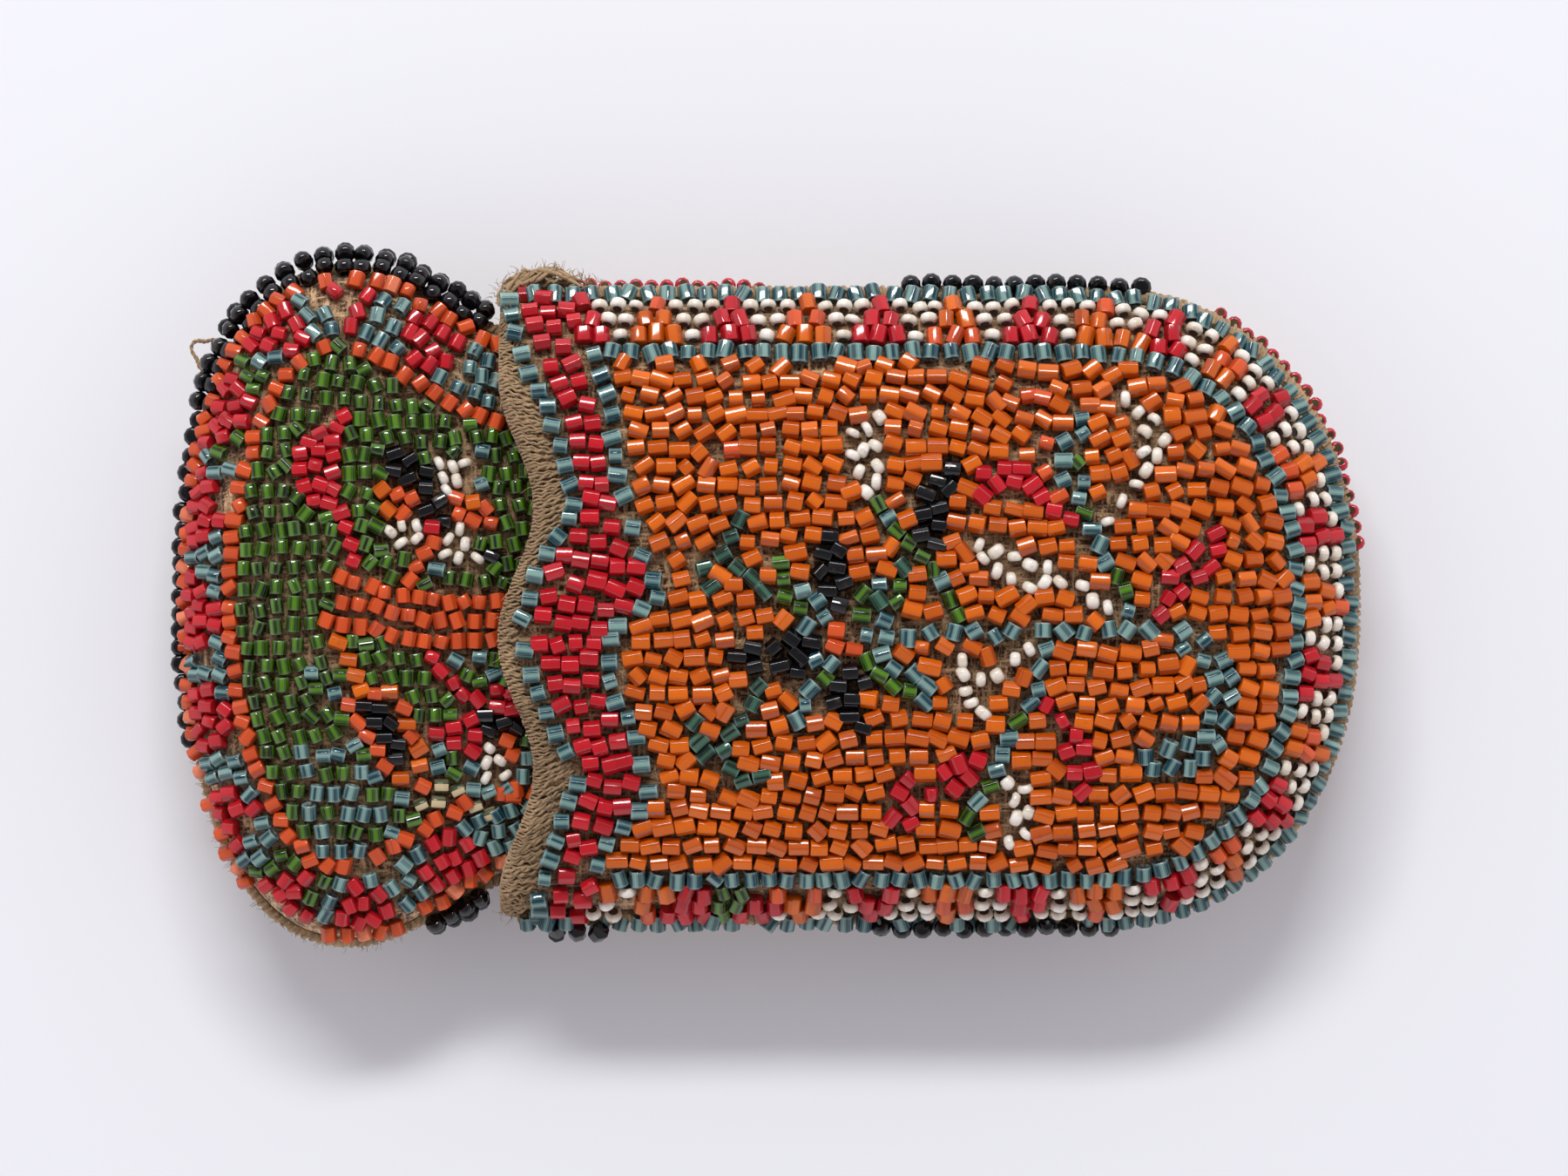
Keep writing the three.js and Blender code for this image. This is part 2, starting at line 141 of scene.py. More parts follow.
class Shader:
    """The nodes of a material or of the room's light."""

    def __init__(self, owner: bpy.types.Material | bpy.types.World) -> None:
        """Start with no nodes.

        Args:
            owner: What the nodes belong to.
        """
        owner.use_nodes = True
        self.owner = owner
        self.tree = owner.node_tree
        self.tree.nodes.clear()

    def node(
        self,
        kind: str,
        settings: dict[str, object],
        inputs: dict[int | str, object],
        output: int | str = 0,
    ) -> Wire:
        """Make a node.

        Args:
            kind: The node's type.
            settings: Properties to set on it before its inputs.
            inputs: Values or wires by socket name or number.
            output: Name or number of the socket to hand back.

        Returns:
            The chosen output.
        """
        made = self.tree.nodes.new(kind)
        for key, value in settings.items():
            setattr(made, key, value)
        for key, value in inputs.items():
            if isinstance(value, Wire):
                self.tree.links.new(value.socket, made.inputs[key])
            else:
                made.inputs[key].default_value = value
        return Wire(self, made.outputs[output])

    def reading(self, attribute: str) -> Wire:
        """Give an attribute of the mesh."""
        return self.node("ShaderNodeAttribute", {"attribute_name": attribute}, {}, "Fac")

    def off_middle(self, attribute: str) -> Wire:
        """Give how far an attribute is from its middle, from 0 to 1."""
        signed = self.reading(attribute) * 2.0 - 1.0
        return self.node("ShaderNodeMath", {"operation": "ABSOLUTE"}, {0: signed})

    def place(self) -> Wire:
        """Give the object coordinates."""
        return self.node("ShaderNodeTexCoord", {}, {}, "Object")

    def noise(self, scale: float, detail: float = 3.0, rough: float = 0.6) -> Wire:
        """Give noise of some features in a metre in the object's own space, from 0 to 1."""
        return self._noise_at(self.place(), scale, detail, rough)

    def streaks(self, stretch: tuple[float, float, float]) -> Wire:
        """Give noise in streaks, with the features in a metre along X, Y and Z, from 0 to 1."""
        factors = {0: self.place(), 1: stretch}
        place = self.node("ShaderNodeVectorMath", {"operation": "MULTIPLY"}, factors, "Vector")
        return self._noise_at(place, 1.0, 2.0, 0.55)

    def _noise_at(self, place: Wire, scale: float, detail: float, rough: float) -> Wire:
        """Give noise at a place, from its scale, octaves and the share that each finer octave keeps."""
        sizes = {"Vector": place, "Scale": scale, "Detail": detail, "Roughness": rough}
        return self.node("ShaderNodeTexNoise", {"noise_dimensions": "3D"}, sizes, "Fac")

    def mix(self, share: Value, first: object, second: object) -> Wire:
        """Blend two colours or wires, with a share of 0 for the first and 1 for the second."""
        return self.node("ShaderNodeMix", {"data_type": "RGBA"}, {0: share, 6: first, 7: second}, 2)

    def bump(self, height: Wire, distance: float, strength: float) -> Wire:
        """Give the normal bent by a relief from 0 to 1, with its depth in metres and the share used."""
        return self.node("ShaderNodeBump", {}, {"Height": height, "Distance": distance, "Strength": strength})

    def surface(self, inputs: dict[int | str, object]) -> bpy.types.Material:
        """End the material in one principled surface with those values or wires, and hand it back."""
        self.end("ShaderNodeOutputMaterial", self.node("ShaderNodeBsdfPrincipled", {}, inputs))
        return self.owner

    def end(self, kind: str, shade: Wire) -> None:
        """Join a surface to an output of that type."""
        self.tree.links.new(shade.socket, self.tree.nodes.new(kind).inputs["Surface"])


class Cut(Enum):
    """The shapes that glass beads are cut to."""

    HEX = "hex"
    HOLED_HEX = "holed_hex"
    ROUND = "round"


class Glass(Enum):
    """The glasses that the beads are made of."""

    ORANGE = "orange"
    EMBER = "ember"
    SALMON = "salmon"
    RED = "red"
    GARNET = "garnet"
    WHITE = "white"
    TEAL = "teal"
    GREEN = "green"
    PINE = "pine"
    BLACK = "black"
    JET = "jet"
    WORN = "worn"


Chooser = Callable[[float, float], Glass]
Area = Callable[[float, float], bool]


@dataclass(frozen=True)
class GlassFinish:
    """One glass, with the size its beads are cut to.

    Attributes:
        slot: The record's material slot.
        cut: The beads' shape.
        length: Length along the hole, metres.
        width: Width over the corners, metres.
        light: Colour of the palest beads.
        dark: Colour of the darkest beads.
        clear: Share of light that passes through.
        rough: Roughness of clean glass.
        facets: How far the shades of a bead's facets differ: painted light on the top facet and painted shade
            on its sides, painted streaks in clear glass, chips in worn glass.
        painted_refraction: How much painted refracted light pales clear glass between its corners, with
            painted dark lines along the hole.
        spread: How far the shades of the beads differ.
        painted_end_light: Colour of painted light on clear glass at its ends.
    """

    slot: str
    cut: Cut
    length: float
    width: float
    light: Rgb
    dark: Rgb
    clear: float = 0.0
    rough: float = 0.1
    facets: float = 0.5
    painted_refraction: float = 0.0
    spread: float = 0.55
    painted_end_light: Rgb = (0, 0, 0)

    def material(self, name: str) -> bpy.types.Material:
        """Make the glass, with a tint for each bead, painted light and shade on its facets and in clear
        glass, and grime in specks.

        Args:
            name: The glass's name.

        Returns:
            The material.
        """
        shader = Shader(bpy.data.materials.new(f"{name}_glass"))
        own = (shader.reading(TINT) - 0.5) * self.spread
        # facet shades: on a bead lying flat the top facet is painted paler and its side facets darker,
        # painted light and shade with random tone
        shade = own + (shader.reading(FACET_SHADE_AND_TONE) - 0.5) * self.facets + 0.5
        if self.painted_refraction:
            # clear glass: painted refracted light between the corners, painted shade at the corners and
            # painted dark lines along the hole
            corner = shader.off_middle(ACROSS)
            lines = shader.node("ShaderNodeMath", {"operation": "COSINE"}, {0: corner * 11.0})
            shade += (0.45 - corner) * self.painted_refraction + lines * 0.12
        clean = shader.mix(shade.limited(), linear(self.dark), linear(self.light))
        streak = shader.noise(1400.0, 2.0)
        shaded = shader.mix(streak * 0.22, clean, linear(self.dark))
        if self.painted_refraction:
            # clear glass paler towards its ends: painted light
            end = ((shader.off_middle(ALONG) - 0.6) * 2.5).limited()
            shaded = shader.mix(end * end * 0.55, shaded, linear(self.painted_end_light))
        grime = ((shader.noise(900.0, 4.0, 0.7) - 0.6) * 7.0).limited() * 0.45
        inputs = {
            "Base Color": shader.mix(grime, shaded, linear((92, 66, 44))),
            "Roughness": self.rough + grime * 0.5,
            "IOR": 1.52,
            "Transmission Weight": self.clear,
            "Specular IOR Level": 0.46,
        }
        return shader.surface(inputs)


GLASSES: dict[Glass, GlassFinish] = {
    Glass.ORANGE: GlassFinish("orange_beads", Cut.HEX, 1.84 * MM, 1.84 * MM, (220, 106, 12), (156, 60, 8)),
    Glass.EMBER: GlassFinish("orange_beads", Cut.HEX, 1.66 * MM, 1.8 * MM, (216, 86, 34), (168, 60, 26)),
    Glass.SALMON: GlassFinish("orange_beads", Cut.HEX, 1.66 * MM, 1.8 * MM, (222, 128, 92), (200, 98, 62)),
    Glass.RED: GlassFinish("red_beads", Cut.HEX, 1.68 * MM, 1.84 * MM, (198, 26, 38), (148, 16, 26)),
    Glass.GARNET: GlassFinish("red_beads", Cut.ROUND, 1.15 * MM, 1.5 * MM, (204, 36, 58), (156, 20, 40)),
    Glass.WHITE: GlassFinish("white_beads", Cut.ROUND, 1.14 * MM, 1.7 * MM, (238, 234, 226), (208, 195, 174)),
    Glass.TEAL: GlassFinish(
        "green_beads", Cut.HOLED_HEX, 1.6 * MM, 1.76 * MM,
        (146, 182, 172), (10, 62, 76), 0.2, 0.06, 0.5, 0.72, 0.6, (178, 202, 200),
    ),
    Glass.GREEN: GlassFinish(
        "green_beads", Cut.HOLED_HEX, 1.56 * MM, 1.72 * MM,
        (94, 146, 30), (15, 29, 10), 0.2, 0.06, 0.45, 0.72, 0.5, (124, 144, 104),
    ),
    Glass.PINE: GlassFinish(
        "green_beads", Cut.HOLED_HEX, 1.7 * MM, 1.78 * MM,
        (70, 116, 92), (10, 30, 28), 0.2, 0.06, 0.5, 0.8, 0.5, (130, 160, 150),
    ),
    Glass.BLACK: GlassFinish(
        "black_beads", Cut.HEX, 1.74 * MM, 1.84 * MM, (14, 14, 17), (5, 5, 7), 0.0, 0.06
    ),
    Glass.JET: GlassFinish(
        "black_beads", Cut.ROUND, 1.6 * MM, 2.02 * MM, (14, 14, 18), (5, 5, 8), 0.0, 0.06
    ),
    Glass.WORN: GlassFinish(
        "white_beads", Cut.HOLED_HEX, 1.5 * MM, 1.6 * MM, (206, 184, 144), (62, 74, 50), facets=1.7
    ),
}


@dataclass(frozen=True)
class ClothFinish:
    """Coarse brown cloth.

    Attributes:
        light: Colour of the thread crowns, with painted light on them.
        dark: Colour of stains, of painted shade between the threads and of painted shade under the beads.
        threads: Features in a metre along X, Y and Z, for the threads of each direction.
        relief: Depth of the weave, metres.
    """

    light: Rgb = (231, 191, 146)
    dark: Rgb = (60, 37, 20)
    threads: tuple[tuple[float, float, float], ...] = ((380.0, 2300.0, 2300.0), (2300.0, 380.0, 380.0))
    relief: float = 0.3 * MM

    def material(self, name: str) -> bpy.types.Material:
        """Make the cloth.

        Args:
            name: The material's name.

        Returns:
            The material.
        """
        shader = Shader(bpy.data.materials.new(name))
        threads = [shader.streaks(stretch) for stretch in self.threads]
        weave = shader.node("ShaderNodeMath", {"operation": "MAXIMUM"}, {0: threads[0], 1: threads[1]})
        relief = weave * 0.6 + shader.noise(4200.0, 4.0, 0.75) * 0.4
        stain = shader.noise(140.0, 4.0)
        # crowns of the weave painted paler and hollows between threads darker: painted light and shade, with
        # stains on top
        shade = ((relief - 0.53) * 6.0 + stain * 0.6 + 0.14).limited()
        colour = shader.mix(shade, linear(self.dark), linear(self.light))
        inputs = {
            # cloth painted darker where beads sit close over it: painted shade under the beads
            "Base Color": shader.mix(shader.reading(BEAD_SHADE) * 0.48, colour, linear(self.dark)),
            "Roughness": 0.95,
            "Specular IOR Level": 0.15,
            "Sheen Weight": 0.25,
            "Normal": shader.bump(relief, self.relief, 0.9),
        }
        return shader.surface(inputs)


@dataclass(frozen=True)
class ThreadFinish:
    """Spun thread.

    Attributes:
        light: Colour of the paler fibres.
        dark: Colour of the darker fibres.
    """

    light: Rgb = (214, 182, 140)
    dark: Rgb = (90, 67, 44)

    def material(self, name: str) -> bpy.types.Material:
        """Make the thread.

        Args:
            name: The material's name.

        Returns:
            The material.
        """
        shader = Shader(bpy.data.materials.new(name))
        fibres = shader.noise(3600.0, 4.0, 0.7)
        stain = shader.noise(160.0, 3.0)
        shade = (fibres * 0.8 + stain * 0.8 - 0.35).limited()
        colour = shader.mix(shade, linear(self.dark), linear(self.light))
        inputs = {
            "Base Color": colour,
            "Roughness": 0.92,
            "Specular IOR Level": 0.15,
            "Sheen Weight": 0.2,
            "Normal": shader.bump(fibres, 0.12 * MM, 0.8),
        }
        return shader.surface(inputs)


class Wardrobe:
    """Every finish, made once."""

    def __init__(self) -> None:
        """Make the materials."""
        self.glass = {kind: finish.material(kind.value) for kind, finish in GLASSES.items()}
        self.cloth = ClothFinish().material("brown_cloth")
        self.thread = ThreadFinish().material("tan_thread")
        # darker thread for the bead holes: painted shade inside the holes
        self.hole = ThreadFinish((112, 86, 60), (48, 36, 26)).material("shaded_thread_in_hole")
        # darker thread for the binding's roll under its ribs: painted shade between the ribs
        self.under = ThreadFinish((112, 84, 56), (52, 38, 24)).material("shaded_thread")


@dataclass(frozen=True)
class Skin:
    """The outer face of one side of the cloth, domed away from the plane of the seam.

    Attributes:
        side: 1 for the front, -1 for the back.
        toward: 1 if the closed end points along +X, -1 if along -X.
        seam_z: Height of the seam's plane, metres.
        end_centre: X where the closed end starts to round off.
        end_reach: How far the closed end goes past it.
        wide: Half widths at the closed end and past the shoulder.
        high: Crowns at the closed end and past the shoulder.
        shoulder: X at which the width starts and ends its change.
        pressed: Share of the crown at which the face lies flat.
    """

    side: int
    toward: int
    seam_z: float
    end_centre: float
    end_reach: float
    wide: tuple[float, float]
    high: tuple[float, float]
    shoulder: tuple[float, float]
    pressed: float = 1.0

    def half_width(self, x: float) -> float:
        """Give the half width at x."""
        return between(*self.wide, smooth(x, *self.shoulder))

    def crown(self, x: float) -> float:
        """Give the height of the crown at x."""
        return between(*self.high, smooth(x, *self.shoulder))

    def level(self, x: float, y: float) -> float:
        """Give 0 on the centre line and 1 on the seam, to the power of the outline."""
        along = max(0.0, self.toward * (x - self.end_centre)) / self.end_reach
        return along**ROUNDNESS + abs(y / self.half_width(x)) ** ROUNDNESS

    def rise(self, x: float, y: float) -> float:
        """Give the share of the crown that the face reaches over x, y."""
        return max(0.0, 1 - self.level(x, y)) ** (1 / ROUNDNESS)

    def normal(self, x: float, y: float) -> Vector:
        """Give the outward normal, level at the seam.

        Args:
            x: Plan place.
            y: Plan place.

        Returns:
            A unit vector.
        """
        rise = self.rise(x, y)
        if rise > self.pressed:
            return Vector((0, 0, self.side))
        step = 1e-6
        slope_x = (self.level(x + step, y) - self.level(x - step, y)) / (2 * step)
        slope_y = (self.level(x, y + step) - self.level(x, y - step)) / (2 * step)
        slope_z = ROUNDNESS * rise ** (ROUNDNESS - 1) / self.crown(x)
        return Vector((slope_x, slope_y, self.side * slope_z)).normalized()

    def point(self, x: float, y: float, lift: float = 0.0) -> Vector:
        """Give the point over a plan place, lifted off the cloth.

        Args:
            x: Plan place.
            y: Plan place.
            lift: Distance along the normal.

        Returns:
            The point.
        """
        height = self.crown(x) * min(self.rise(x, y), self.pressed)
        base = Vector((x, y, self.seam_z + self.side * (SEAM_GAP / 2 + height)))
        return base + self.normal(x, y) * lift

    def end_x(self, share: float) -> float:
        """Give the closed end's x at a share of the half width."""
        reach = self.end_reach * max(0.0, 1 - abs(share) ** ROUNDNESS) ** (1 / ROUNDNESS)
        return self.end_centre + self.toward * reach


class Walk:
    """A line in plan that is walked by its length on the cloth."""

    def __init__(
        self, plan: Sequence[Vector], skin: Skin, lift: float = 0.0, marks: Sequence[float] = ()
    ) -> None:
        """Measure the line.

        Args:
            plan: Points with x and y.
            skin: The cloth that carries it.
            lift: Distance off the cloth at which lengths are taken.
            marks: A number for each point, looked up with the place.
        """
        self.plan = list(plan)
        self.marks = list(marks) or [0.0] * len(self.plan)
        places = [skin.point(p.x, p.y, lift) for p in self.plan]
        self.lengths = [0.0]
        for last, place in zip(places, places[1:]):
            self.lengths.append(self.lengths[-1] + (place - last).length)

    @property
    def length(self) -> float:
        """Give the whole length."""
        return self.lengths[-1]

    def at(self, distance: float) -> tuple[Vector, float]:
        """Give the plan place and mark at a distance along the line.

        Args:
            distance: Length from the line's start.

        Returns:
            The place and the mark.
        """
        index = min(max(bisect_right(self.lengths, distance) - 1, 0), len(self.plan) - 2)
        span = self.lengths[index + 1] - self.lengths[index]
        share = (distance - self.lengths[index]) / span if span else 0.0
        place = self.plan[index].lerp(self.plan[index + 1], share)
        return place, between(self.marks[index], self.marks[index + 1], share)

    def heading(self, distance: float) -> Vector:
        """Give the plan direction at a distance along the line."""
        step = 0.2 * MM
        return (self.at(distance + step)[0] - self.at(distance - step)[0]).normalized()


class Seam:
    """The seam of a pouch in plan, walked from its upper open end round the closed end."""

    def __init__(self, skin: Skin, start_x: float, steps: int = 90) -> None:
        """Lay out the seam.

        Args:
            skin: The side of cloth that it bounds.
            start_x: Where both ends of the seam lie.
            steps: Points on each of its three stretches.
        """
        self.skin = skin
        upper = [between(start_x, skin.end_centre, i / steps) for i in range(steps)]
        turn = [math.pi * (0.5 - i / steps) for i in range(steps + 1)]
        power = 2 / ROUNDNESS
        plan = [Vector((x, skin.half_width(x), 0)) for x in upper]
        for angle in turn:
            along = max(0.0, math.cos(angle)) ** power
            across = math.copysign(abs(math.sin(angle)) ** power, angle)
            x = skin.end_centre + skin.toward * skin.end_reach * along
            plan.append(Vector((x, across * skin.half_width(skin.end_centre), 0)))
        plan += [Vector((x, -skin.half_width(x), 0)) for x in reversed(upper)]
        self.walk = Walk(plan, skin)

    def inward(self, distance: float) -> Vector:
        """Give the plan direction from the seam into the cloth."""
        heading = self.walk.heading(distance)
        return Vector((heading.y, -heading.x, 0)) * self.skin.toward

    def lane(self, distance: float, reach: float = 14 * MM) -> Walk:
        """Give the line from the seam straight in over the cloth.

        Args:
            distance: Place on the seam.
            reach: How far in plan the line goes.

        Returns:
            The line.
        """
        start, _ = self.walk.at(distance)
        inward = self.inward(distance)
        shares = [(i / 36) ** 1.8 for i in range(37)]
        return Walk([start + inward * (reach * s) for s in shares], self.skin)


class Ground:
    """Where beads already sit, so that later beads keep clear of them."""

    def __init__(self, cell: float = 2.5 * MM) -> None:
        """Start with bare cloth."""
        self.cell = cell
        self.cells: dict[tuple[int, int, int], list[Vector]] = {}

    def _key(self, place: Vector) -> tuple[int, int, int]:
        """Give the cell that a place is in."""
        return tuple(math.floor(part / self.cell) for part in place)

    def add(self, place: Vector) -> None:
        """Note a bead."""
        self.cells.setdefault(self._key(place), []).append(place)

    def taken(self, place: Vector, clear: float) -> bool:
        """Tell whether a bead sits nearer than that.

        Args:
            place: Centre of the bead to be sewn.
            clear: Distance between centres, at most one cell.

        Returns:
            True if one does.
        """
        x, y, z = self._key(place)
        steps = (-1, 0, 1)
        near = (self.cells.get((x + i, y + j, z + k), ()) for i in steps for j in steps for k in steps)
        return any((other - place).length < clear for others in near for other in others)


@dataclass
class Shape:
    """A bead of unit length and width along Z, cast again for each bead.

    Attributes:
        mesh: The bead.
        rest: Its vertices as they were made.
    """

    mesh: bpy.types.Mesh
    rest: list[float]

    def cast(self, into: bmesh.types.BMesh, pose: Matrix, tint: float) -> None:
        """Add one bead to a piece.

        Args:
            into: The piece's mesh.
            pose: Place, turn and size of the bead.
            tint: The bead's own shade.
        """
        self.mesh.vertices.foreach_set("co", self.rest)
        self.mesh.transform(pose)
        self.mesh.attributes[TINT].data.foreach_set("value", [tint] * len(self.mesh.vertices))
        into.from_mesh(self.mesh)


class Mould:
    """Makes the bead shapes."""

    def __init__(self) -> None:
        """Make each shape once."""
        makers = {Cut.HEX: self._hex, Cut.HOLED_HEX: self._holed_hex, Cut.ROUND: self._round}
        self.shapes = {cut: self._shape(cut, maker) for cut, maker in makers.items()}

    def _shape(self, cut: Cut, maker: Callable[[bmesh.types.BMesh], None]) -> Shape:
        """Build one shape.

        Args:
            cut: The shape's name.
            maker: Method that fills the mesh.

        Returns:
            The shape.
        """
        bm = bmesh.new()
        maker(bm)
        bmesh.ops.recalc_face_normals(bm, faces=bm.faces)
        for face in bm.faces:
            face.smooth = True
        for edge in bm.edges:
            edge.smooth = cut is Cut.ROUND or edge.calc_face_angle(0.0) < 1.0
        mesh = bpy.data.meshes.new(f"mould_{cut.value}")
        bm.to_mesh(mesh)
        bm.free()
        mesh.attributes.new(TINT, "FLOAT", "POINT")
        # a fixed shade for each facet, pale on the facet that faces up when the bead lies flat: painted light
        # and shade
        shades = [0.5 + 0.5 * math.sin(3.4 * math.atan2(f.normal.y, f.normal.x) + 0.9) for f in mesh.polygons]
        mesh.attributes.new(FACET_SHADE_AND_TONE, "FLOAT", "FACE").data.foreach_set("value", shades)
        across = [0.5 + 0.5 * math.sin(3 * math.atan2(v.co.y, v.co.x)) for v in mesh.vertices]
        mesh.attributes.new(ACROSS, "FLOAT", "POINT").data.foreach_set("value", across)
        along = [0.5 + v.co.z for v in mesh.vertices]
        mesh.attributes.new(ALONG, "FLOAT", "POINT").data.foreach_set("value", along)
        rest = [0.0] * (3 * len(mesh.vertices))
        mesh.vertices.foreach_get("co", rest)
        return Shape(mesh, rest)

    @staticmethod
    def _bevel(bm: bmesh.types.BMesh, edges: Sequence[bmesh.types.BMEdge], offset: float) -> None:
        """Take some edges off with one strip each.

        Args:
            bm: The bead.
            edges: The edges.
            offset: Width taken off each face.
        """
        strip = {"offset_type": "OFFSET", "affect": "EDGES", "segments": 1, "profile": 0.5, "material": -1}
        bmesh.ops.bevel(bm, geom=edges, offset=offset, **strip)

    def _hex(self, bm: bmesh.types.BMesh) -> None:
        """Make a six-sided bead whose edges are fire-polished.

        Args:
            bm: The empty mesh.
        """
        bmesh.ops.create_cone(
            bm, cap_ends=True, cap_tris=False, segments=6, radius1=0.5, radius2=0.5, depth=1.0
        )
        long_edges = [e for e in bm.edges if abs(e.verts[0].co.z - e.verts[1].co.z) > 0.5]
        self._bevel(bm, [e for e in long_edges if e.calc_face_angle() > 0.5], 0.07)
        rims = [e for e in bm.edges if abs(e.verts[0].co.z - e.verts[1].co.z) < 0.1]
        self._bevel(bm, rims, 0.06)

    def _holed_hex(self, bm: bmesh.types.BMesh) -> None:
        """Make a six-sided bead with its hole open at both ends.

        Args:
            bm: The empty mesh.
        """
        self._hex(bm)
        ends = [f for f in bm.faces if len(f.verts) > 4]
        bmesh.ops.inset_individual(bm, faces=ends, thickness=0.18, depth=-0.12)
        for end in ends:
            # the sunk ends take the hole's darker thread: painted shade
            end.material_index = 1

    def _round(self, bm: bmesh.types.BMesh) -> None:
        """Make a round bead with a dimpled hole at both ends.

        Args:
            bm: The empty mesh.
        """
        bmesh.ops.create_uvsphere(bm, u_segments=10, v_segments=6, radius=0.5)
        poles = [v for v in bm.verts if len(v.link_faces) == 10]
        for height, wide, tall in ((0.25, 1.05, 1.18), (0.433, 1.14, 1.06)):
            ring = [v for v in bm.verts if abs(abs(v.co.z) - height) < 0.01]
            bmesh.ops.scale(bm, verts=ring, vec=(wide, wide, tall))
        for pole in poles:
            bmesh.ops.translate(bm, verts=[pole], vec=(0, 0, -0.62 * pole.co.z))
            # the dimples take the hole's darker thread: painted shade
            for face in pole.link_faces:
                face.material_index = 1


@dataclass(frozen=True)
class Play:
    """How far beads stray from where the thread puts them.

    Attributes:
        shift: Usual stray over the cloth, metres.
        turn: Usual turn about the cloth's normal, radians.
        lean: Usual lean of the hole off the cloth, radians.
        roll: Usual roll about the hole, radians.
        size: Usual share by which sizes differ.
        scale: Size of the beads against their usual size.
    """

    shift: float = 0.09 * MM
    turn: float = 0.14
    lean: float = 0.07
    roll: float = 0.24
    size: float = 0.045
    scale: float = 1.0


@dataclass
class BeadWork:
    """The beads of one zone, one piece for each glass.

    Attributes:
        name: Start of the pieces' names.
        body: The CAD body that they ride.
        nodes: The CAD nodes that they stand for.
        mould: The bead shapes.
        ground: Where beads already sit.
        play: How far they stray.
        seed: Seed of the straying.
        meshes: The beads sewn so far.
    """

    name: str
    body: str
    nodes: tuple[str, ...]
    mould: Mould
    ground: Ground
    play: Play
    seed: int
    meshes: dict[Glass, bmesh.types.BMesh] = field(default_factory=dict)

    def __post_init__(self) -> None:
        """Start the zone's own chance."""
        self.chance = random.Random(self.seed)

    def set_bead(self, glass: Glass, centre: Vector, hole: Vector, up: Vector) -> None:
        """Put one bead at a point.

        Args:
            glass: The bead's glass.
            centre: Its centre.
            hole: Direction of its hole.
            up: Direction away from what it lies on.
        """
        finish = GLASSES[glass]
        chance, play = self.chance, self.play
        hole = hole.normalized()
        side = hole.cross(up).normalized()
        turn = Matrix.Rotation(chance.gauss(0, play.roll), 3, hole)
        basis = turn @ Matrix((side.cross(hole), side, hole)).transposed()
        width = finish.width * play.scale * (1 + chance.gauss(0, play.size))
        length = finish.length * play.scale * (1 + chance.gauss(0, 1.5 * play.size))
        pose = Matrix.Translation(centre) @ (basis @ Matrix.Diagonal((width, width, length))).to_4x4()
        mesh = self.meshes.setdefault(glass, bmesh.new())
        self.mould.shapes[finish.cut].cast(mesh, pose, min(1.0, max(0.0, chance.gauss(0.5, 0.28))))
        self.ground.add(centre)

    def sew(
        self,
        glass: Glass,
        skin: Skin,
        x: float,
        y: float,
        lay: Vector,
        lift: float | None = None,
        level: float = 0.0,
    ) -> None:
        """Sew one bead on the cloth.

        Args:
            glass: The bead's glass.
            skin: The cloth.
            x: Plan place.
            y: Plan place.
            lay: Plan direction of the hole.
            lift: Height of the bead's centre over the cloth, its usual height if left out.
            level: How far the hole is brought level on a steep side.
        """
        chance, play = self.chance, self.play
        x += chance.gauss(0, play.shift)
        y += chance.gauss(0, play.shift)
        up = skin.normal(x, y)
        hole = (lay - up * lay.dot(up)).normalized() + lay * level
        up = (up + Vector((0, 0, level))).normalized()
        hole = Matrix.Rotation(chance.gauss(0, play.turn), 3, up) @ hole
        hole += up * chance.gauss(0, play.lean)
        lift = lift or GLASSES[glass].width * play.scale * 0.42
        self.set_bead(glass, skin.point(x, y, lift), hole, up)

    def build(self, wardrobe: Wardrobe) -> None:
        """Turn the zone's beads into pieces.

        Args:
            wardrobe: The finishes.
        """
        for glass, bm in self.meshes.items():
            mesh = bpy.data.meshes.new(f"{self.name}_{glass.value}")
            bm.to_mesh(mesh)
            bm.free()
            mesh.materials.append(wardrobe.glass[glass])
            mesh.materials.append(wardrobe.hole if glass is not Glass.JET else wardrobe.glass[glass])
            piece = bpy.data.objects.new(mesh.name, mesh)
            if GLASSES[glass].cut is not Cut.ROUND:
                facets = piece.modifiers.new("facets", "WEIGHTED_NORMAL")
                facets.weight = 85
                facets.keep_sharp = True
            put(piece, self.body, GLASSES[glass].slot, self.nodes)


def put(piece: bpy.types.Object, body: str, slot: str, nodes: Sequence[str] = ()) -> None:
    """Place a piece on its CAD body and report it.

    Args:
        piece: The finished piece.
        body: The body that it rides.
        slot: The record's material slot; not used.
        nodes: The CAD nodes that it stands for.
    """
    bpy.context.scene.collection.objects.link(piece)
    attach(piece, body)
    if nodes:
        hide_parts(*nodes)
    log.info("%s on %s, %d faces", piece.name, body, len(piece.data.polygons))


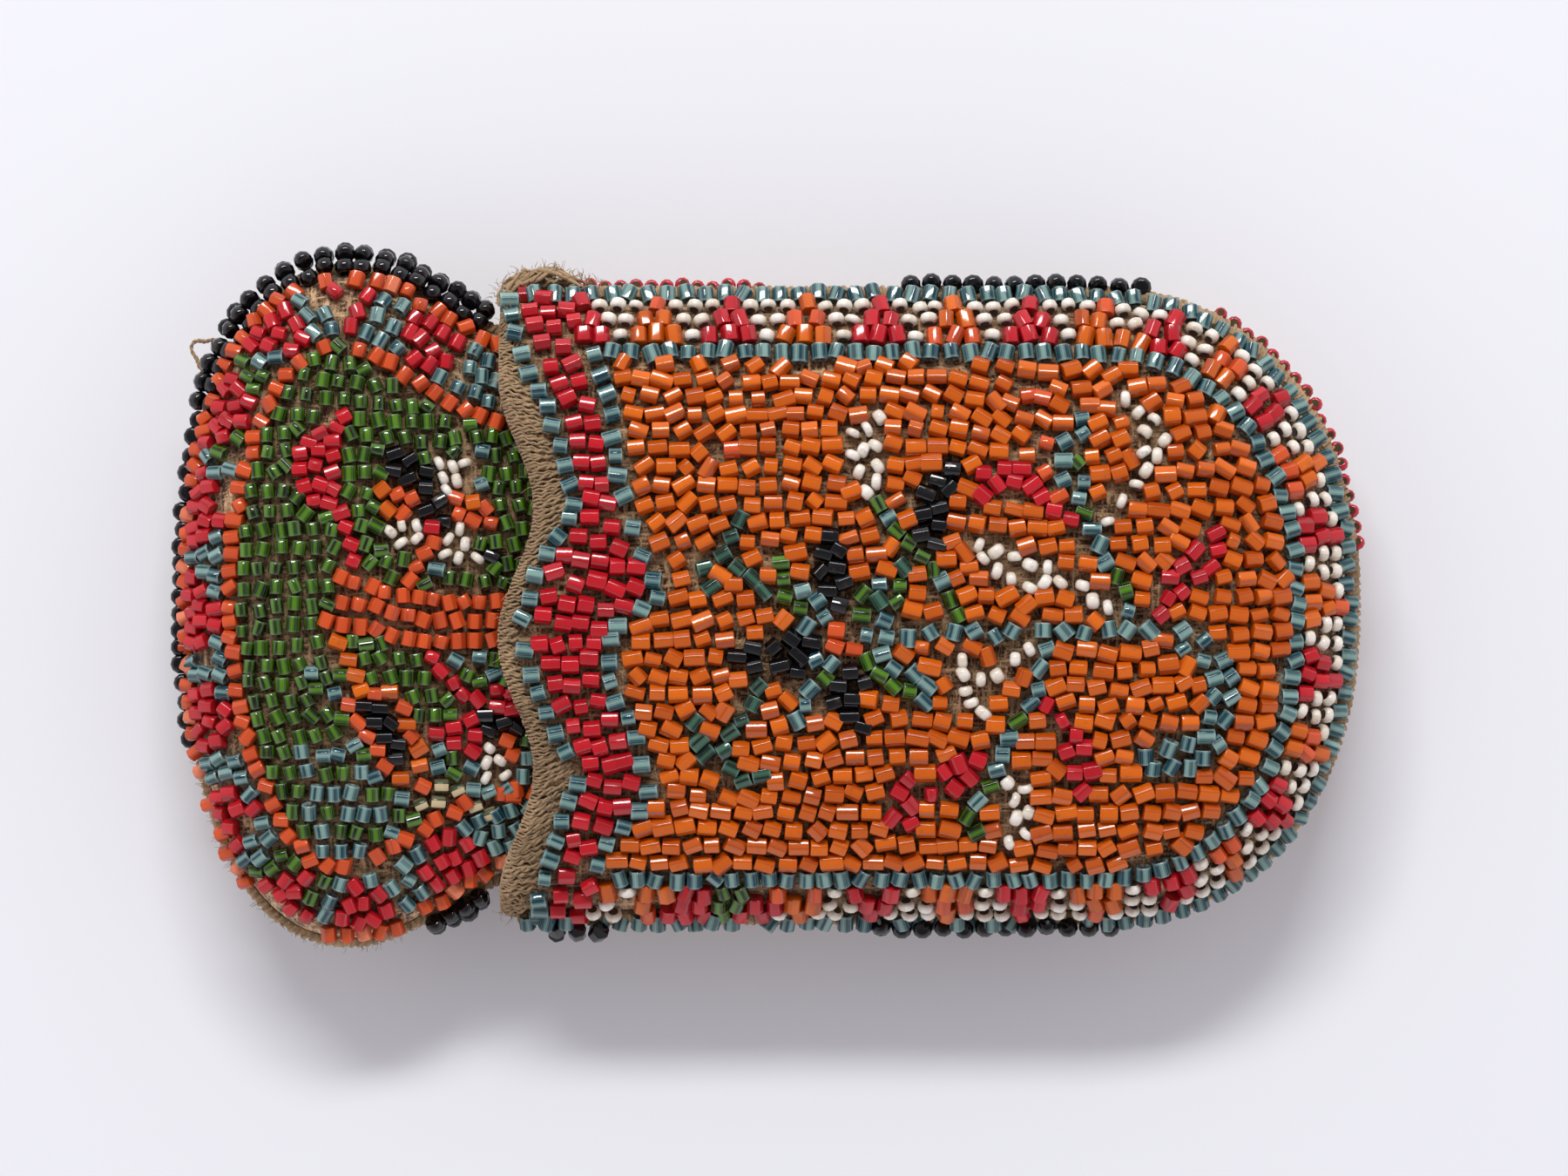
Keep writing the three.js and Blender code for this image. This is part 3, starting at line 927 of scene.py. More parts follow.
@dataclass
class Strands:
    """Tubes along lines: rolls of cloth, stitches and stray fibres in one piece.

    Attributes:
        name: The piece's name.
        body: The CAD body that it rides.
        slot: The record's material slot.
        sides: Detail round each tube, as the curve's bevel takes it.
        nodes: The CAD nodes that it stands for.
    """

    name: str
    body: str
    slot: str
    sides: int = 0
    nodes: tuple[str, ...] = ()

    def __post_init__(self) -> None:
        """Start an empty curve."""
        self.curve = bpy.data.curves.new(self.name, "CURVE")
        self.curve.dimensions = "3D"
        self.curve.bevel_depth = 1.0
        self.curve.bevel_resolution = self.sides
        self.curve.use_fill_caps = True

    def add(self, line: Sequence[Vector], radius: float, taper: float = 1.0) -> None:
        """Add one tube.

        Args:
            line: Points along its middle.
            radius: Its radius, metres.
            taper: Share of the radius left at its far end.
        """
        spline = self.curve.splines.new("POLY")
        spline.points.add(len(line) - 1)
        last = max(1, len(line) - 1)
        for index, (point, place) in enumerate(zip(spline.points, line)):
            point.co = (*place, 1.0)
            point.radius = radius * between(1.0, taper, index / last)
        spline.use_smooth = True

    def build(self, material: bpy.types.Material) -> None:
        """Turn the tubes into one piece.

        Args:
            material: Its finish.
        """
        source = bpy.data.objects.new(f"{self.name}_line", self.curve)
        bpy.context.scene.collection.objects.link(source)
        bpy.context.view_layer.update()
        mesh = bpy.data.meshes.new_from_object(source.evaluated_get(bpy.context.evaluated_depsgraph_get()))
        mesh.name = self.name
        bpy.data.objects.remove(source)
        bpy.data.curves.remove(self.curve)
        mesh.materials.clear()
        mesh.materials.append(material)
        put(bpy.data.objects.new(self.name, mesh), self.body, self.slot, self.nodes)


@dataclass
class Panel:
    """One side's cloth.

    Attributes:
        name: The piece's name.
        body: The CAD body that it rides.
        node: The CAD node that it stands for.
        skin: Its outer face.
        open_edge: X of the open edge at a plan y.
        ground: Where beads sit on it.
        thickness: Thickness of the cloth.
        columns: Faces from the open edge to the closed end.
        rows: Faces from seam to seam.
        shade_lift: Height over the cloth at which beads are looked for, for the painted shade under them.
        shade_reach: Distance within which a bead paints shade on the cloth.
    """

    name: str
    body: str
    node: str
    skin: Skin
    open_edge: Callable[[float], float]
    ground: Ground
    thickness: float = 1.0 * MM
    columns: int = 96
    rows: int = 72
    shade_lift: float = 0.8 * MM
    shade_reach: float = 1.3 * MM

    def _place(self, along: float, across: float) -> Vector:
        """Give the point at shares of the length and of the section.

        Args:
            along: 0 at the open edge and 1 at the closed end.
            across: -1 and 1 at the seams.

        Returns:
            The point.
        """
        share = math.copysign(abs(math.sin(across * math.pi / 2)) ** (2 / ROUNDNESS), across)
        edge = self.open_edge(share * self.skin.half_width(self.skin.end_centre * 0.5))
        x = between(edge, self.skin.end_x(share), math.sin(along * math.pi / 2))
        return self.skin.point(x, share * self.skin.half_width(x))

    def build(self, wardrobe: Wardrobe) -> None:
        """Args:
            wardrobe: The finishes.
        """
        bm = bmesh.new()
        bm.loops.layers.uv.new("flat")
        bmesh.ops.create_grid(bm, x_segments=self.columns, y_segments=self.rows, size=1.0, calc_uvs=True)
        for vert in bm.verts:
            vert.co = self._place((vert.co.x + 1) / 2, vert.co.y)
        bmesh.ops.recalc_face_normals(bm, faces=bm.faces)
        middle = min(bm.faces, key=lambda face: face.calc_center_median().xy.length)
        if middle.normal.z * self.skin.side < 0:
            bmesh.ops.reverse_faces(bm, faces=bm.faces)
        for face in bm.faces:
            face.smooth = True
        area = sum(face.calc_area() for face in bm.faces)
        mesh = bpy.data.meshes.new(self.name)
        bm.to_mesh(mesh)
        bm.free()
        # mark the cloth near beads for the painted shade under them
        lifted = (self.skin.point(v.co.x, v.co.y, self.shade_lift) for v in mesh.vertices)
        bead_shade = [float(self.ground.taken(place, self.shade_reach)) for place in lifted]
        mesh.attributes.new(BEAD_SHADE, "FLOAT", "POINT").data.foreach_set("value", bead_shade)
        mesh.materials.append(wardrobe.cloth)
        piece = bpy.data.objects.new(self.name, mesh)
        put(piece, self.body, "cloth", (self.node,))
        solid = piece.modifiers.new("thickness", "SOLIDIFY")
        solid.thickness = self.thickness
        solid.offset = -1.0
        ends = self.open_edge(0), self.skin.end_x(0)
        length = Walk([Vector((between(*ends, i / 60), 0, 0)) for i in range(61)], self.skin).length
        width = across_walk(self.skin, self.skin.end_centre).length


def across_walk(skin: Skin, x: float, lift: float = 0.0, steps: int = 180) -> Walk:
    """Give the line across a side at x, from its lower seam to its upper one.

    Args:
        skin: The side.
        x: Where it is crossed.
        lift: Distance off the cloth.
        steps: Points on the line.

    Returns:
        The line.
    """
    angles = [math.pi * (i / steps - 0.5) for i in range(steps + 1)]
    shares = [math.copysign(abs(math.sin(a)) ** (2 / ROUNDNESS), a) for a in angles]
    return Walk([Vector((x, share * skin.half_width(x), 0)) for share in shares], skin, lift)


@dataclass(frozen=True)
class Edge:
    """A line of beads across a pouch, read as x at a given y.

    Attributes:
        places: X and y along it in millimetres, from the upper seam down.
    """

    places: tuple[Place, ...]

    def at(self, y: float) -> float:
        """Give x at a given y.

        Args:
            y: Plan place, metres.

        Returns:
            X, metres.
        """
        wanted = y / MM
        for (x0, y0), (x1, y1) in zip(self.places, self.places[1:]):
            if y1 <= wanted <= y0:
                return between(x0, x1, (wanted - y0) / (y1 - y0)) * MM
        return (self.places[0] if wanted > 0 else self.places[-1])[0] * MM


@dataclass(frozen=True)
class Stroke:
    """A line of beads worked into a field.

    Attributes:
        glass: Their glass.
        path: X and y along it in millimetres.
        wide: Beads side by side.
        clear: Distance that is kept from beads already there.
    """

    glass: Glass
    path: tuple[Place, ...]
    wide: int = 1
    clear: float = 1.2 * MM

    def sew(self, work: BeadWork, skin: Skin) -> None:
        """Sew the stroke.

        Args:
            work: The zone that it belongs to.
            skin: The cloth.
        """
        finish = GLASSES[self.glass]
        walk = Walk([Vector((x * MM, y * MM, 0)) for x, y in self.path], skin)
        spacing = finish.width * work.play.scale * 0.98
        beads = max(1, round(walk.length / spacing))
        for bead in range(beads + 1):
            distance = walk.length * bead / beads
            place, _ = walk.at(distance)
            heading = walk.heading(distance)
            across = Vector((-heading.y, heading.x, 0))
            lanes = 1 if bead in (0, beads) else self.wide
            for lane in range(lanes):
                offset = (lane - (lanes - 1) / 2) * finish.length * work.play.scale * 1.06
                x, y = (place + across * offset).xy
                if not work.ground.taken(skin.point(x, y, BEAD_MIDDLE), self.clear):
                    work.sew(self.glass, skin, x, y, across)


@dataclass(frozen=True)
class Spray:
    """Beads sewn one by one into a field.

    Attributes:
        glass: Their glass.
        spots: X and y of each in millimetres.
        lean: Usual turn of their holes off X, radians.
    """

    glass: Glass
    spots: tuple[Place, ...]
    lean: float = 0.0

    def sew(self, work: BeadWork, skin: Skin) -> None:
        """Sew the spray.

        Args:
            work: The zone that it belongs to.
            skin: The cloth.
        """
        spread = 1.3 if self.glass is Glass.WHITE else 0.45
        for x, y in self.spots:
            turn = self.lean + work.chance.uniform(-spread, spread)
            work.sew(self.glass, skin, x * MM, y * MM, Vector((math.cos(turn), math.sin(turn), 0)))


class Outline:
    """A closed line in plan."""

    def __init__(self, plan: Sequence[Vector]) -> None:
        """Hold the corners."""
        self.plan = list(plan)

    def holds(self, x: float, y: float) -> bool:
        """Tell whether a plan place is inside.

        Args:
            x: Plan place.
            y: Plan place.

        Returns:
            True if it is.
        """
        inside = False
        for one, two in zip(self.plan, self.plan[1:] + self.plan[:1]):
            if (one.y > y) != (two.y > y) and x < between(one.x, two.x, (y - one.y) / (two.y - one.y)):
                inside = not inside
        return inside


@dataclass
class Border:
    """Rows of beads along the seam, brick-stitched into triangles.

    Attributes:
        seam: The seam.
        stops: Shares of the seam, each with the first and last row's distance from it over the cloth
            and the first row's height, in millimetres.
        rows: Number of rows.
        spacing: Distance between beads in a row.
        step: Distance between the lanes on which the rows are laid out.
    """

    seam: Seam
    stops: Stops
    rows: int = 5
    spacing: float = 1.84 * MM
    step: float = 0.8 * MM

    def _span(self, share: float) -> list[float]:
        """Give the first and last row's distance from the seam and the first row's height.

        Args:
            share: Share of the seam's length from its upper end.

        Returns:
            The three sizes, metres.
        """
        after = next(index for index, stop in enumerate(self.stops) if stop[0] > share)
        low, high = self.stops[after - 1], self.stops[after]
        part = (share - low[0]) / (high[0] - low[0])
        return [between(one, two, part) * MM for one, two in zip(low[1:], high[1:])]

    def lines(self) -> list[Walk]:
        """Lay out the rows.

        Returns:
            The rows, outermost first, each marked with its distance along the seam.
        """
        total = self.seam.walk.length
        count = int(total / self.step)
        places: list[list[Vector]] = [[] for _ in range(self.rows)]
        marks = [total * i / count for i in range(count + 1)]
        for mark in marks:
            lane = self.seam.lane(mark)
            first, last, _ = self._span(mark / total)
            for row in range(self.rows):
                arc = between(first, last, row / (self.rows - 1))
                places[row].append(lane.at(arc)[0])
        return [Walk(line, self.seam.skin, BEAD_MIDDLE, marks) for line in places]

    def sew(
        self,
        work: BeadWork,
        colour: Callable[[int, float], Glass],
        keep: Callable[[float, float, int], bool],
    ) -> Outline:
        """Sew the rows.

        Args:
            work: The zone.
            colour: Glass of a bead from its row and its distance along the seam.
            keep: Tells from its plan place and row whether a bead is there.

        Returns:
            The line of the innermost row.
        """
        lines = self.lines()
        for row, line in enumerate(lines):
            distance = self.spacing * (0.5 if row % 2 else 1.0)
            while distance < line.length:
                place, mark = line.at(distance)
                glass = colour(row, mark)
                if keep(place.x, place.y, row):
                    height = None if row else self._span(mark / self.seam.walk.length)[2]
                    level = 0.6 if row else 2.0
                    inward = self.seam.inward(mark)
                    work.sew(glass, self.seam.skin, place.x, place.y, inward, height, level)
                distance += self.spacing * work.chance.uniform(0.97, 1.06)
        return Outline(lines[-1].plan)


@dataclass
class Field:
    """Beads that fill what is left of a side in rows.

    Attributes:
        work: The zone.
        skin: The cloth.
        pitch: Distance between rows.
        gap: Thread that shows between beads in a row.
        clear: Distance that is kept from beads already there.
        along: Whether holes lie along the rows or across them.
        nudge: How far on a bead is tried where there is no room.
    """

    work: BeadWork
    skin: Skin
    pitch: float
    gap: float
    clear: float
    along: bool = True
    nudge: float = 0.22 * MM

    def row(
        self,
        y: float,
        low: float,
        high: float,
        glass: Chooser,
        inside: Area,
    ) -> None:
        """Sew one row along X.

        Args:
            y: Plan place of the row.
            low: Where it starts.
            high: Where it ends.
            glass: Glass at a plan place.
            inside: Tells whether a plan place belongs to the field.
        """
        chance = self.work.chance
        x = low + chance.uniform(0, 0.5) * self.pitch
        while x < high:
            kind = glass(x, y)
            finish = GLASSES[kind]
            size = finish.length if self.along else finish.width
            step = size * self.work.play.scale + self.gap * chance.uniform(0.4, 1.6)
            middle = x + step / 2
            bend = flow(middle, y, 45) * 1.2 * MM + flow(middle, y, 160) * 0.5 * MM
            stretch = (self.skin.point(middle + 1e-4, y) - self.skin.point(middle, y)).length / 1e-4
            centre = self.skin.point(middle, y + bend, BEAD_MIDDLE)
            if not inside(middle, y) or self.work.ground.taken(centre, self.clear):
                x += self.nudge
                continue
            turn = 0.7 * flow(y, middle, 75) + (0.0 if self.along else math.pi / 2)
            self.work.sew(kind, self.skin, middle, y + bend, Vector((math.cos(turn), math.sin(turn), 0)))
            x += step / stretch

    def fill(self, spots: Sequence[Place], glass: Chooser, clear: float) -> None:
        """Sew extra beads wherever a spot was left bare.

        Args:
            spots: Plan places to try.
            glass: Glass at a plan place.
            clear: Distance that is kept from other beads.
        """
        for x, y in spots:
            if not self.work.ground.taken(self.skin.point(x, y, BEAD_MIDDLE), clear):
                lay = Matrix.Rotation(self.work.chance.uniform(-0.9, 0.9), 3, "Z") @ Vector((1, 0, 0))
                self.work.sew(glass(x, y), self.skin, x, y, lay)


def flow(x: float, y: float, scale: float) -> float:
    """Give a smooth wander from about -1 to 1 over the cloth."""
    return noise.noise(Vector((x * scale, y * scale, scale)))


def only(glass: Glass) -> Chooser:
    """Choose the same glass everywhere."""
    return lambda x, y: glass


def scattered(chance: random.Random, low: Vector, high: Vector, inside: Area) -> list[Place]:
    """Give chance plan places inside an area.

    Args:
        chance: Source of chance.
        low: Lowest corner.
        high: Highest corner.
        inside: Tells whether a place belongs to the area.

    Returns:
        Plan x and y of each.
    """
    corners = (low.x, high.x), (low.y, high.y)
    tries = [tuple(chance.uniform(*ends) for ends in corners) for _ in range(FILL_TRIES)]
    return [place for place in tries if inside(*place)]


SPRIG: tuple[Stroke | Spray, ...] = (
    Spray(Glass.EMBER, (
        (6.8, -2.3), (6.7, -4), (8.4, -4.2), (-3.4, 15.3), (25.7, 20.8), (27.2, 20.3), (27.6, 15.9),
        (27.3, 13), (28.7, 10.7),
    )),
    Spray(Glass.BLACK, (
        (18.2, 13.2), (16.8, 12.2), (18, 11.4), (15.7, 10.9), (17, 9.7), (15.4, 8.8), (16.8, 7.8),
        (15.2, 6.9), (16.7, 6), (6.1, 6.9), (7.2, 5.4), (5.4, 5.2), (6.9, 3.8), (5.1, 3.2), (7.6, 2.2),
        (5.9, 1.5), (6.9, 0.1), (4.4, -3.6), (2.3, -3.2), (0.5, -4.1), (-1.3, -4.1), (3, -5), (1.1, -5.9),
        (2.8, -6.6), (-1.2, -5.9), (-3, -5), (8.3, -6.5), (7, -7.8), (9.6, -7.6), (6.5, -9.4), (8.3, -9.1),
        (8, -10.9), (9.4, -11.9),
    )),
    Spray(Glass.GREEN, (
        (11, 10), (12.7, 7.4), (13.8, 6.1), (15.2, 4.9), (16.4, 3.6), (18, 0.7), (18.9, -1),
    ), -0.9),
    Spray(Glass.GREEN, (
        (13, 2), (12.9, 0.4), (9.3, 1), (9.1, -1), (1.2, 4.2), (1.5, 2.6), (1.7, 0.8), (3.3, -0.2),
    )),
    Spray(Glass.GREEN, (
        (9.8, -5.5), (11, -6.9), (12.5, -7.8), (14, -8.4), (5.6, -7.2), (30.6, 14.1), (31.4, 9),
    ), -0.5),
    Spray(Glass.GREEN, (
        (34.4, 2.8), (35.3, 1.3), (24.7, -11.4), (22, -17.8), (19.8, -20.7), (20.6, -22.4),
    ), 0.6),
    Spray(Glass.PINE, (
        (-2.8, 8.5), (-3.6, 6.8), (-4.4, 5), (-6.2, 3.7), (-5.6, 1.7), (-7, -11.3), (-7, -13.2),
    ), 0.8),
    Spray(Glass.PINE, ((-2.9, 3.6), (-1.5, 2.5), (-0.4, 1.3), (13.3, 3.7), (11, 0.5)), -0.7),
    Spray(Glass.PINE, (
        (-0.9, -8), (-1.3, -9.7), (-2.6, -11.2), (-3.6, -12.6), (-4.3, -14), (-6, -14.6),
    ), 0.6),
    Spray(Glass.PINE, ((-3.5, -16), (-2.4, -17.2), (-0.5, -16.6))),
    Spray(Glass.TEAL, (
        (11.9, 8.7), (17.2, 2.3), (10.9, 2.1), (11.6, -1.4), (11.7, -3.1), (11.4, -4.8), (9.9, -3.2),
    ), 0.2),
    Spray(Glass.TEAL, (
        (3.5, 1.4), (4, -2), (5.6, -1.1), (4.9, 0.5), (4.6, -5.4), (6.3, -5.8), (4.3, -8.3),
    ), 0.6),
    Spray(Glass.TEAL, (
        (3.6, -9.6), (2.7, -11.3), (12.7, -6.2), (14.4, -6.6), (15.9, -7.8), (15.5, -9.4),
    ), -0.6),
    Spray(Glass.TEAL, (
        (13.8, -3.2), (16.1, -2.6), (18.3, -2.6), (20.4, -2.6), (22.4, -3), (24.3, -2.5),
    ), 1.5),
    Spray(Glass.TEAL, (
        (27.2, -2.5), (29.1, -2.5), (31.2, -2.8), (33.6, -2.4), (35.6, -2.4), (37.6, -2.5),
    ), 1.4),
    Spray(Glass.TEAL, (
        (35.6, -0.5), (40.9, -2.6), (43, -3.4), (41, -4.3), (43, -5.4), (44.8, -5.3), (44, -7.2),
    ), 0.2),
    Spray(Glass.TEAL, (
        (45.7, -7), (44, -9), (45.7, -9.1), (43.5, -11), (45.2, -11.3), (43, -12.9), (44.6, -13.7),
    ), 0.5),
    Spray(Glass.TEAL, (
        (41.4, -13.6), (39.5, -14), (43, -15), (37.2, -14.7), (38.2, -16), (40, -15.9), (41.7, -15.8),
    ), 1.2),
    Spray(Glass.TEAL, (
        (31.1, 18.4), (31.2, 16.7), (29.3, 16.2), (29, 14.2), (29.2, 12.2), (31.2, 12.2), (30.7, 10.5),
    ), 0.3),
    Spray(Glass.TEAL, (
        (32.1, 7.5), (32.8, 6), (33.3, 4.2), (27.7, -4.2), (27, -6.2), (26.8, -8.1), (26.1, -9.7),
    ), 0.5),
    Spray(Glass.TEAL, ((23.9, -13), (23.4, -14.5), (22.7, -16.2), (20.9, -19.2)), 0.4),
    Spray(Glass.WHITE, (
        (11.1, 18.3), (8.4, 16.8), (9.9, 17.1), (9.4, 15.3), (10.6, 15.6), (8.3, 14.6), (10.9, 13.7),
        (9, 13), (10.9, 12.1), (9.7, 11.2), (35.4, 20.2), (36.7, 19), (38.2, 18.2), (37.3, 17),
        (39.1, 16.3), (37.1, 15.1), (38.5, 14.7), (37.3, 13.4), (36.5, 11.8), (34.9, 10.2), (33.5, 8.3),
        (20.9, 5.9), (21.4, 4.6), (22.7, 5.5), (24.3, 4.9), (25.9, 3.9), (27.7, 3.8), (22.6, 3.3),
        (24.1, 2.7), (25.9, 1.7), (27.3, 2.3), (28.9, 2.3), (31.1, 1.8), (32, 0.6), (33.5, -0.1),
        (25.8, -4.3), (24.4, -5.3), (22.6, -6.9), (21, -7.2), (19.3, -5.4), (19.3, -6.8), (19.5, -8.3),
        (20.2, -9.5), (21.3, -10.7), (23.7, -17.5), (25.5, -18), (24.4, -19.2), (25.9, -20.3),
        (24.6, -20.9), (25.7, -22.5), (24.1, -23.1),
    )),
    Spray(Glass.RED, (
        (21.2, 13), (23.4, 13.6), (25.2, 13.4), (22.7, 12), (24.4, 12.1), (26.1, 11.8), (27.2, 10.6),
    )),
    Spray(Glass.RED, ((21.2, 10.8), (28.3, 9.3), (29.8, 8.4)), -0.5),
    Spray(Glass.RED, (
        (44.1, 6.9), (42.2, 5.4), (44.3, 5.3), (41, 3.8), (43.7, 3.7), (39.6, 2.7), (42.5, 2.6), (41, 1.6),
        (39.5, 0.8), (39, -0.9), (27.7, -9.7), (29.2, -11.3), (30.2, -12.6),
    ), 0.4),
    Spray(Glass.RED, ((31.2, -14), (29.6, -14.4), (30.3, -16.3), (32.1, -16.1), (31.2, -18.2))),
    Stroke(Glass.RED, ((20.8, -15.1), (17.6, -17.4), (14.8, -17.4), (12.8, -19.8), (14.3, -21.5)), 2),
)

BOUQUET: tuple[Stroke | Spray, ...] = (
    Spray(Glass.RED, (
        (-42, 18.6), (-42.8, 17.5), (-44.2, 17), (-43, 16.3), (-45.4, 16.1), (-46.1, 15), (-44.3, 15.3),
        (-43.1, 14.8), (-46.2, 13.4), (-44.6, 13.7), (-43.1, 13.2), (-45.9, 11.7), (-44.3, 11.9),
        (-43, 11.5), (-44.9, 10.3), (-43.4, 10), (-42.3, 9.1), (-41.7, 7.7), (-41.3, 6.2), (-41.1, 4.5),
    )),
    Stroke(Glass.EMBER, ((-42.2, 2.9), (-39.8, 2), (-38.1, 1.4), (-35.6, 0.9), (-31.5, 0.3), (-19.2, 0.5))),
    Stroke(Glass.EMBER, ((-42.1, 0.3), (-39.1, -0.1), (-36.8, -0.9), (-33.1, -1.5), (-19.2, -1.4))),
    Stroke(Glass.EMBER, (
        (-43.5, -1.5), (-42, -2), (-39, -2.2), (-36.5, -3.2), (-32.4, -3.6), (-19.2, -3.2),
    )),
    Spray(Glass.EMBER, (
        (-35.4, 2.4), (-34.8, 3.8), (-34, 5.2), (-33.1, 6.4), (-36.6, 11), (-35.2, 10.5), (-36.1, 9.1),
    ), 0.6),
    Spray(Glass.EMBER, ((-31, 10.7), (-30.6, 9), (-29.2, 8.4), (-28, 9.6), (-27.6, 8.2)), -0.5),
    Spray(Glass.ORANGE, (
        (-38.2, 11.3), (-37.6, 9.4), (-29.4, 10.3), (-42.5, -3.6), (-41.4, -5.4), (-40.6, -6.9),
    ), -0.2),
    Spray(Glass.ORANGE, (
        (-40.3, -8.4), (-37.3, -8.5), (-35.8, -11.6), (-34.7, -14.2), (-34.6, -16), (-36.4, -17.1),
    ), 0.2),
    Spray(Glass.BLACK, (
        (-37.1, 14.8), (-37.1, 13.2), (-35.6, 14.2), (-35.6, 12.5), (-33.9, 13.3), (-33.9, 11.5),
        (-32.6, 10.2), (-33.9, 9.3), (-32.1, 8.3), (-40, -9.8), (-38.3, -10), (-38.9, -11.5),
        (-37.3, -11.6), (-37.9, -13.1), (-36.6, -13.5), (-36.6, -15), (-28.2, -10.9), (-27.7, -12.3),
        (-26.2, -11.6), (-24.8, -12.1), (-27.2, 4.9),
    )),
    Spray(Glass.WHITE, (
        (-32.6, 14.1), (-31.4, 13.9), (-30.1, 14.1), (-32.3, 12.5), (-30.7, 12.3), (-31.8, 11.4),
        (-37.4, 7.3), (-36.3, 7.9), (-34.7, 7.9), (-34.7, 6.6), (-36.3, 6.1), (-30.4, 7.5), (-31.6, 6.3),
        (-29.9, 6.1), (-32.1, 5), (-30.5, 4.6), (-28.8, 4.7), (-27.6, -13.9), (-28, -15.5), (-26.6, -15.3),
        (-28, -16.9), (-26.1, -16.8),
    )),
    Spray(Glass.EMBER, (
        (-41.5, -9.8), (-40.6, -11.5), (-39.8, -12.9), (-38.8, -14.3), (-38.1, -15.8), (-38.9, -8.6),
    ), -0.6),
    Spray(Glass.EMBER, (
        (-36, -9.9), (-35.3, -13), (-34.2, -17.8), (-26.1, -13.4), (-25.5, -14.8), (-25.3, -19),
    ), -0.5),
    Spray(Glass.RED, (
        (-33.4, 7.7), (-33.2, -5.1), (-32.4, -6.6), (-31.2, -7.7), (-30.3, -8.8), (-28.8, -9.3),
    ), -0.6),
    Spray(Glass.RED, (
        (-27, -8.3), (-26.9, -10), (-25.4, -10.2), (-25.6, -8.7), (-29.5, -11.2), (-31.2, -12.1),
        (-32.8, -12.8), (-31, -13.7), (-29.2, -12.7), (-29.3, -14.3),
    )),
    Spray(Glass.TEAL, (
        (-28.3, 15.3), (-28.6, 11.9), (-32.9, 3.6), (-45.2, -6.5), (-43, -8.7), (-31, -5.3), (-28.6, -5.2),
        (-27, -6.7), (-44, -14.8), (-42.6, -14.7), (-41, -13.8), (-38.9, -17), (-36.4, -18.9),
        (-32.6, -14.3), (-32.7, -16), (-29.5, -16), (-29.3, -18.2), (-27.7, -18.3), (-26.1, -18.4),
    )),
    Spray(Glass.WORN, (
        (-29.2, -19.9), (-32.4, -17.7), (-34.4, -19.6), (-32.7, -19.5), (-30.8, -18.2), (-27.6, -20.6),
    ), 0.3),
)


@dataclass
class Half(ABC):
    """One half of the pouch, which lays out its own skins and seam.

    Attributes:
        body: The CAD body that its pieces ride.
        mould: The bead shapes.
        wardrobe: The finishes.
        pressed: Share of the back's crown at which it lies flat.
        front: The front's cloth.
        back: The back's cloth.
        seam: The seam between them.
        ground: Where beads already sit.
        back_side: Distance of the back's rows from the sides of their CAD node.
        back_round: How much wider than that node the rows' closed end rounds off.
        back_end: Distance of the rows from the closed end.
    """

    body: ClassVar[str]
    back_side: ClassVar[float] = 0.8 * MM
    back_round: ClassVar[float] = 1.5 * MM
    back_end: ClassVar[float] = 5 * MM
    mould: Mould
    wardrobe: Wardrobe
    pressed: float = 0.98
    front: Skin = field(init=False)
    back: Skin = field(init=False)
    seam: Seam = field(init=False)
    ground: Ground = field(init=False, default_factory=Ground)

    @abstractmethod
    def open_edge(self, y: float) -> float:
        """Give the open edge's x at a plan y."""

    @abstractmethod
    def build_beads(self) -> None:
        """Sew the front."""

    @abstractmethod
    def build_back(self) -> None:
        """Sew the plain back."""

    @abstractmethod
    def build_edging(self) -> None:
        """Sew the beads along the seam."""

    @abstractmethod
    def build_trim(self) -> None:
        """Make the rolls, stitches and frayed fibres."""

    def build(self) -> None:
        """Make every piece, the beads first because the cloth gets painted shade under them."""
        self.build_beads()
        self.build_back()
        self.build_edging()
        self.build_cloth()
        self.build_trim()

    def build_cloth(self) -> None:
        """Make both sides' cloth."""
        for name, skin in (("front", self.front), ("back", self.back)):
            piece, node = f"{self.body}_{name}_panel", f"{self.body}_{name}_cloth"
            Panel(piece, self.body, node, skin, self.open_edge, self.ground).build(self.wardrobe)

    def _work(self, name: str, nodes: tuple[str, ...], seed: int, play: Play = Play()) -> BeadWork:
        """Start a zone of beads."""
        return BeadWork(f"{self.body}_{name}", self.body, nodes, self.mould, self.ground, play, seed)

    def _strands(
        self, name: str, sides: int, slot: str = "stitching", nodes: tuple[str, ...] = ()
    ) -> Strands:
        """Start a piece of tubes."""
        return Strands(f"{self.body}_{name}", self.body, slot, sides, nodes)

    def _back_rows(self, low: Vector, high: Vector, x: float, pitch: float) -> Iterator[Place]:
        """Lay out the plain rows of the back inside the box of their CAD node.

        Args:
            low: The box's lowest corner.
            high: Its highest corner.
            x: Where the rows are spaced over the cloth.
            pitch: Distance between them.

        Yields:
            Y of a row and x of its end at the closed end.
        """
        section = across_walk(self.back, x)
        for index in range(int(section.length / pitch)):
            y = section.at((index + 0.5) * pitch)[0].y
            if low.y + self.back_side < y < high.y - self.back_side:
                end = self.back.end_x(min(1.0, abs(y) / (high.y + self.back_round)))
                yield y, end - self.back.toward * self.back_end


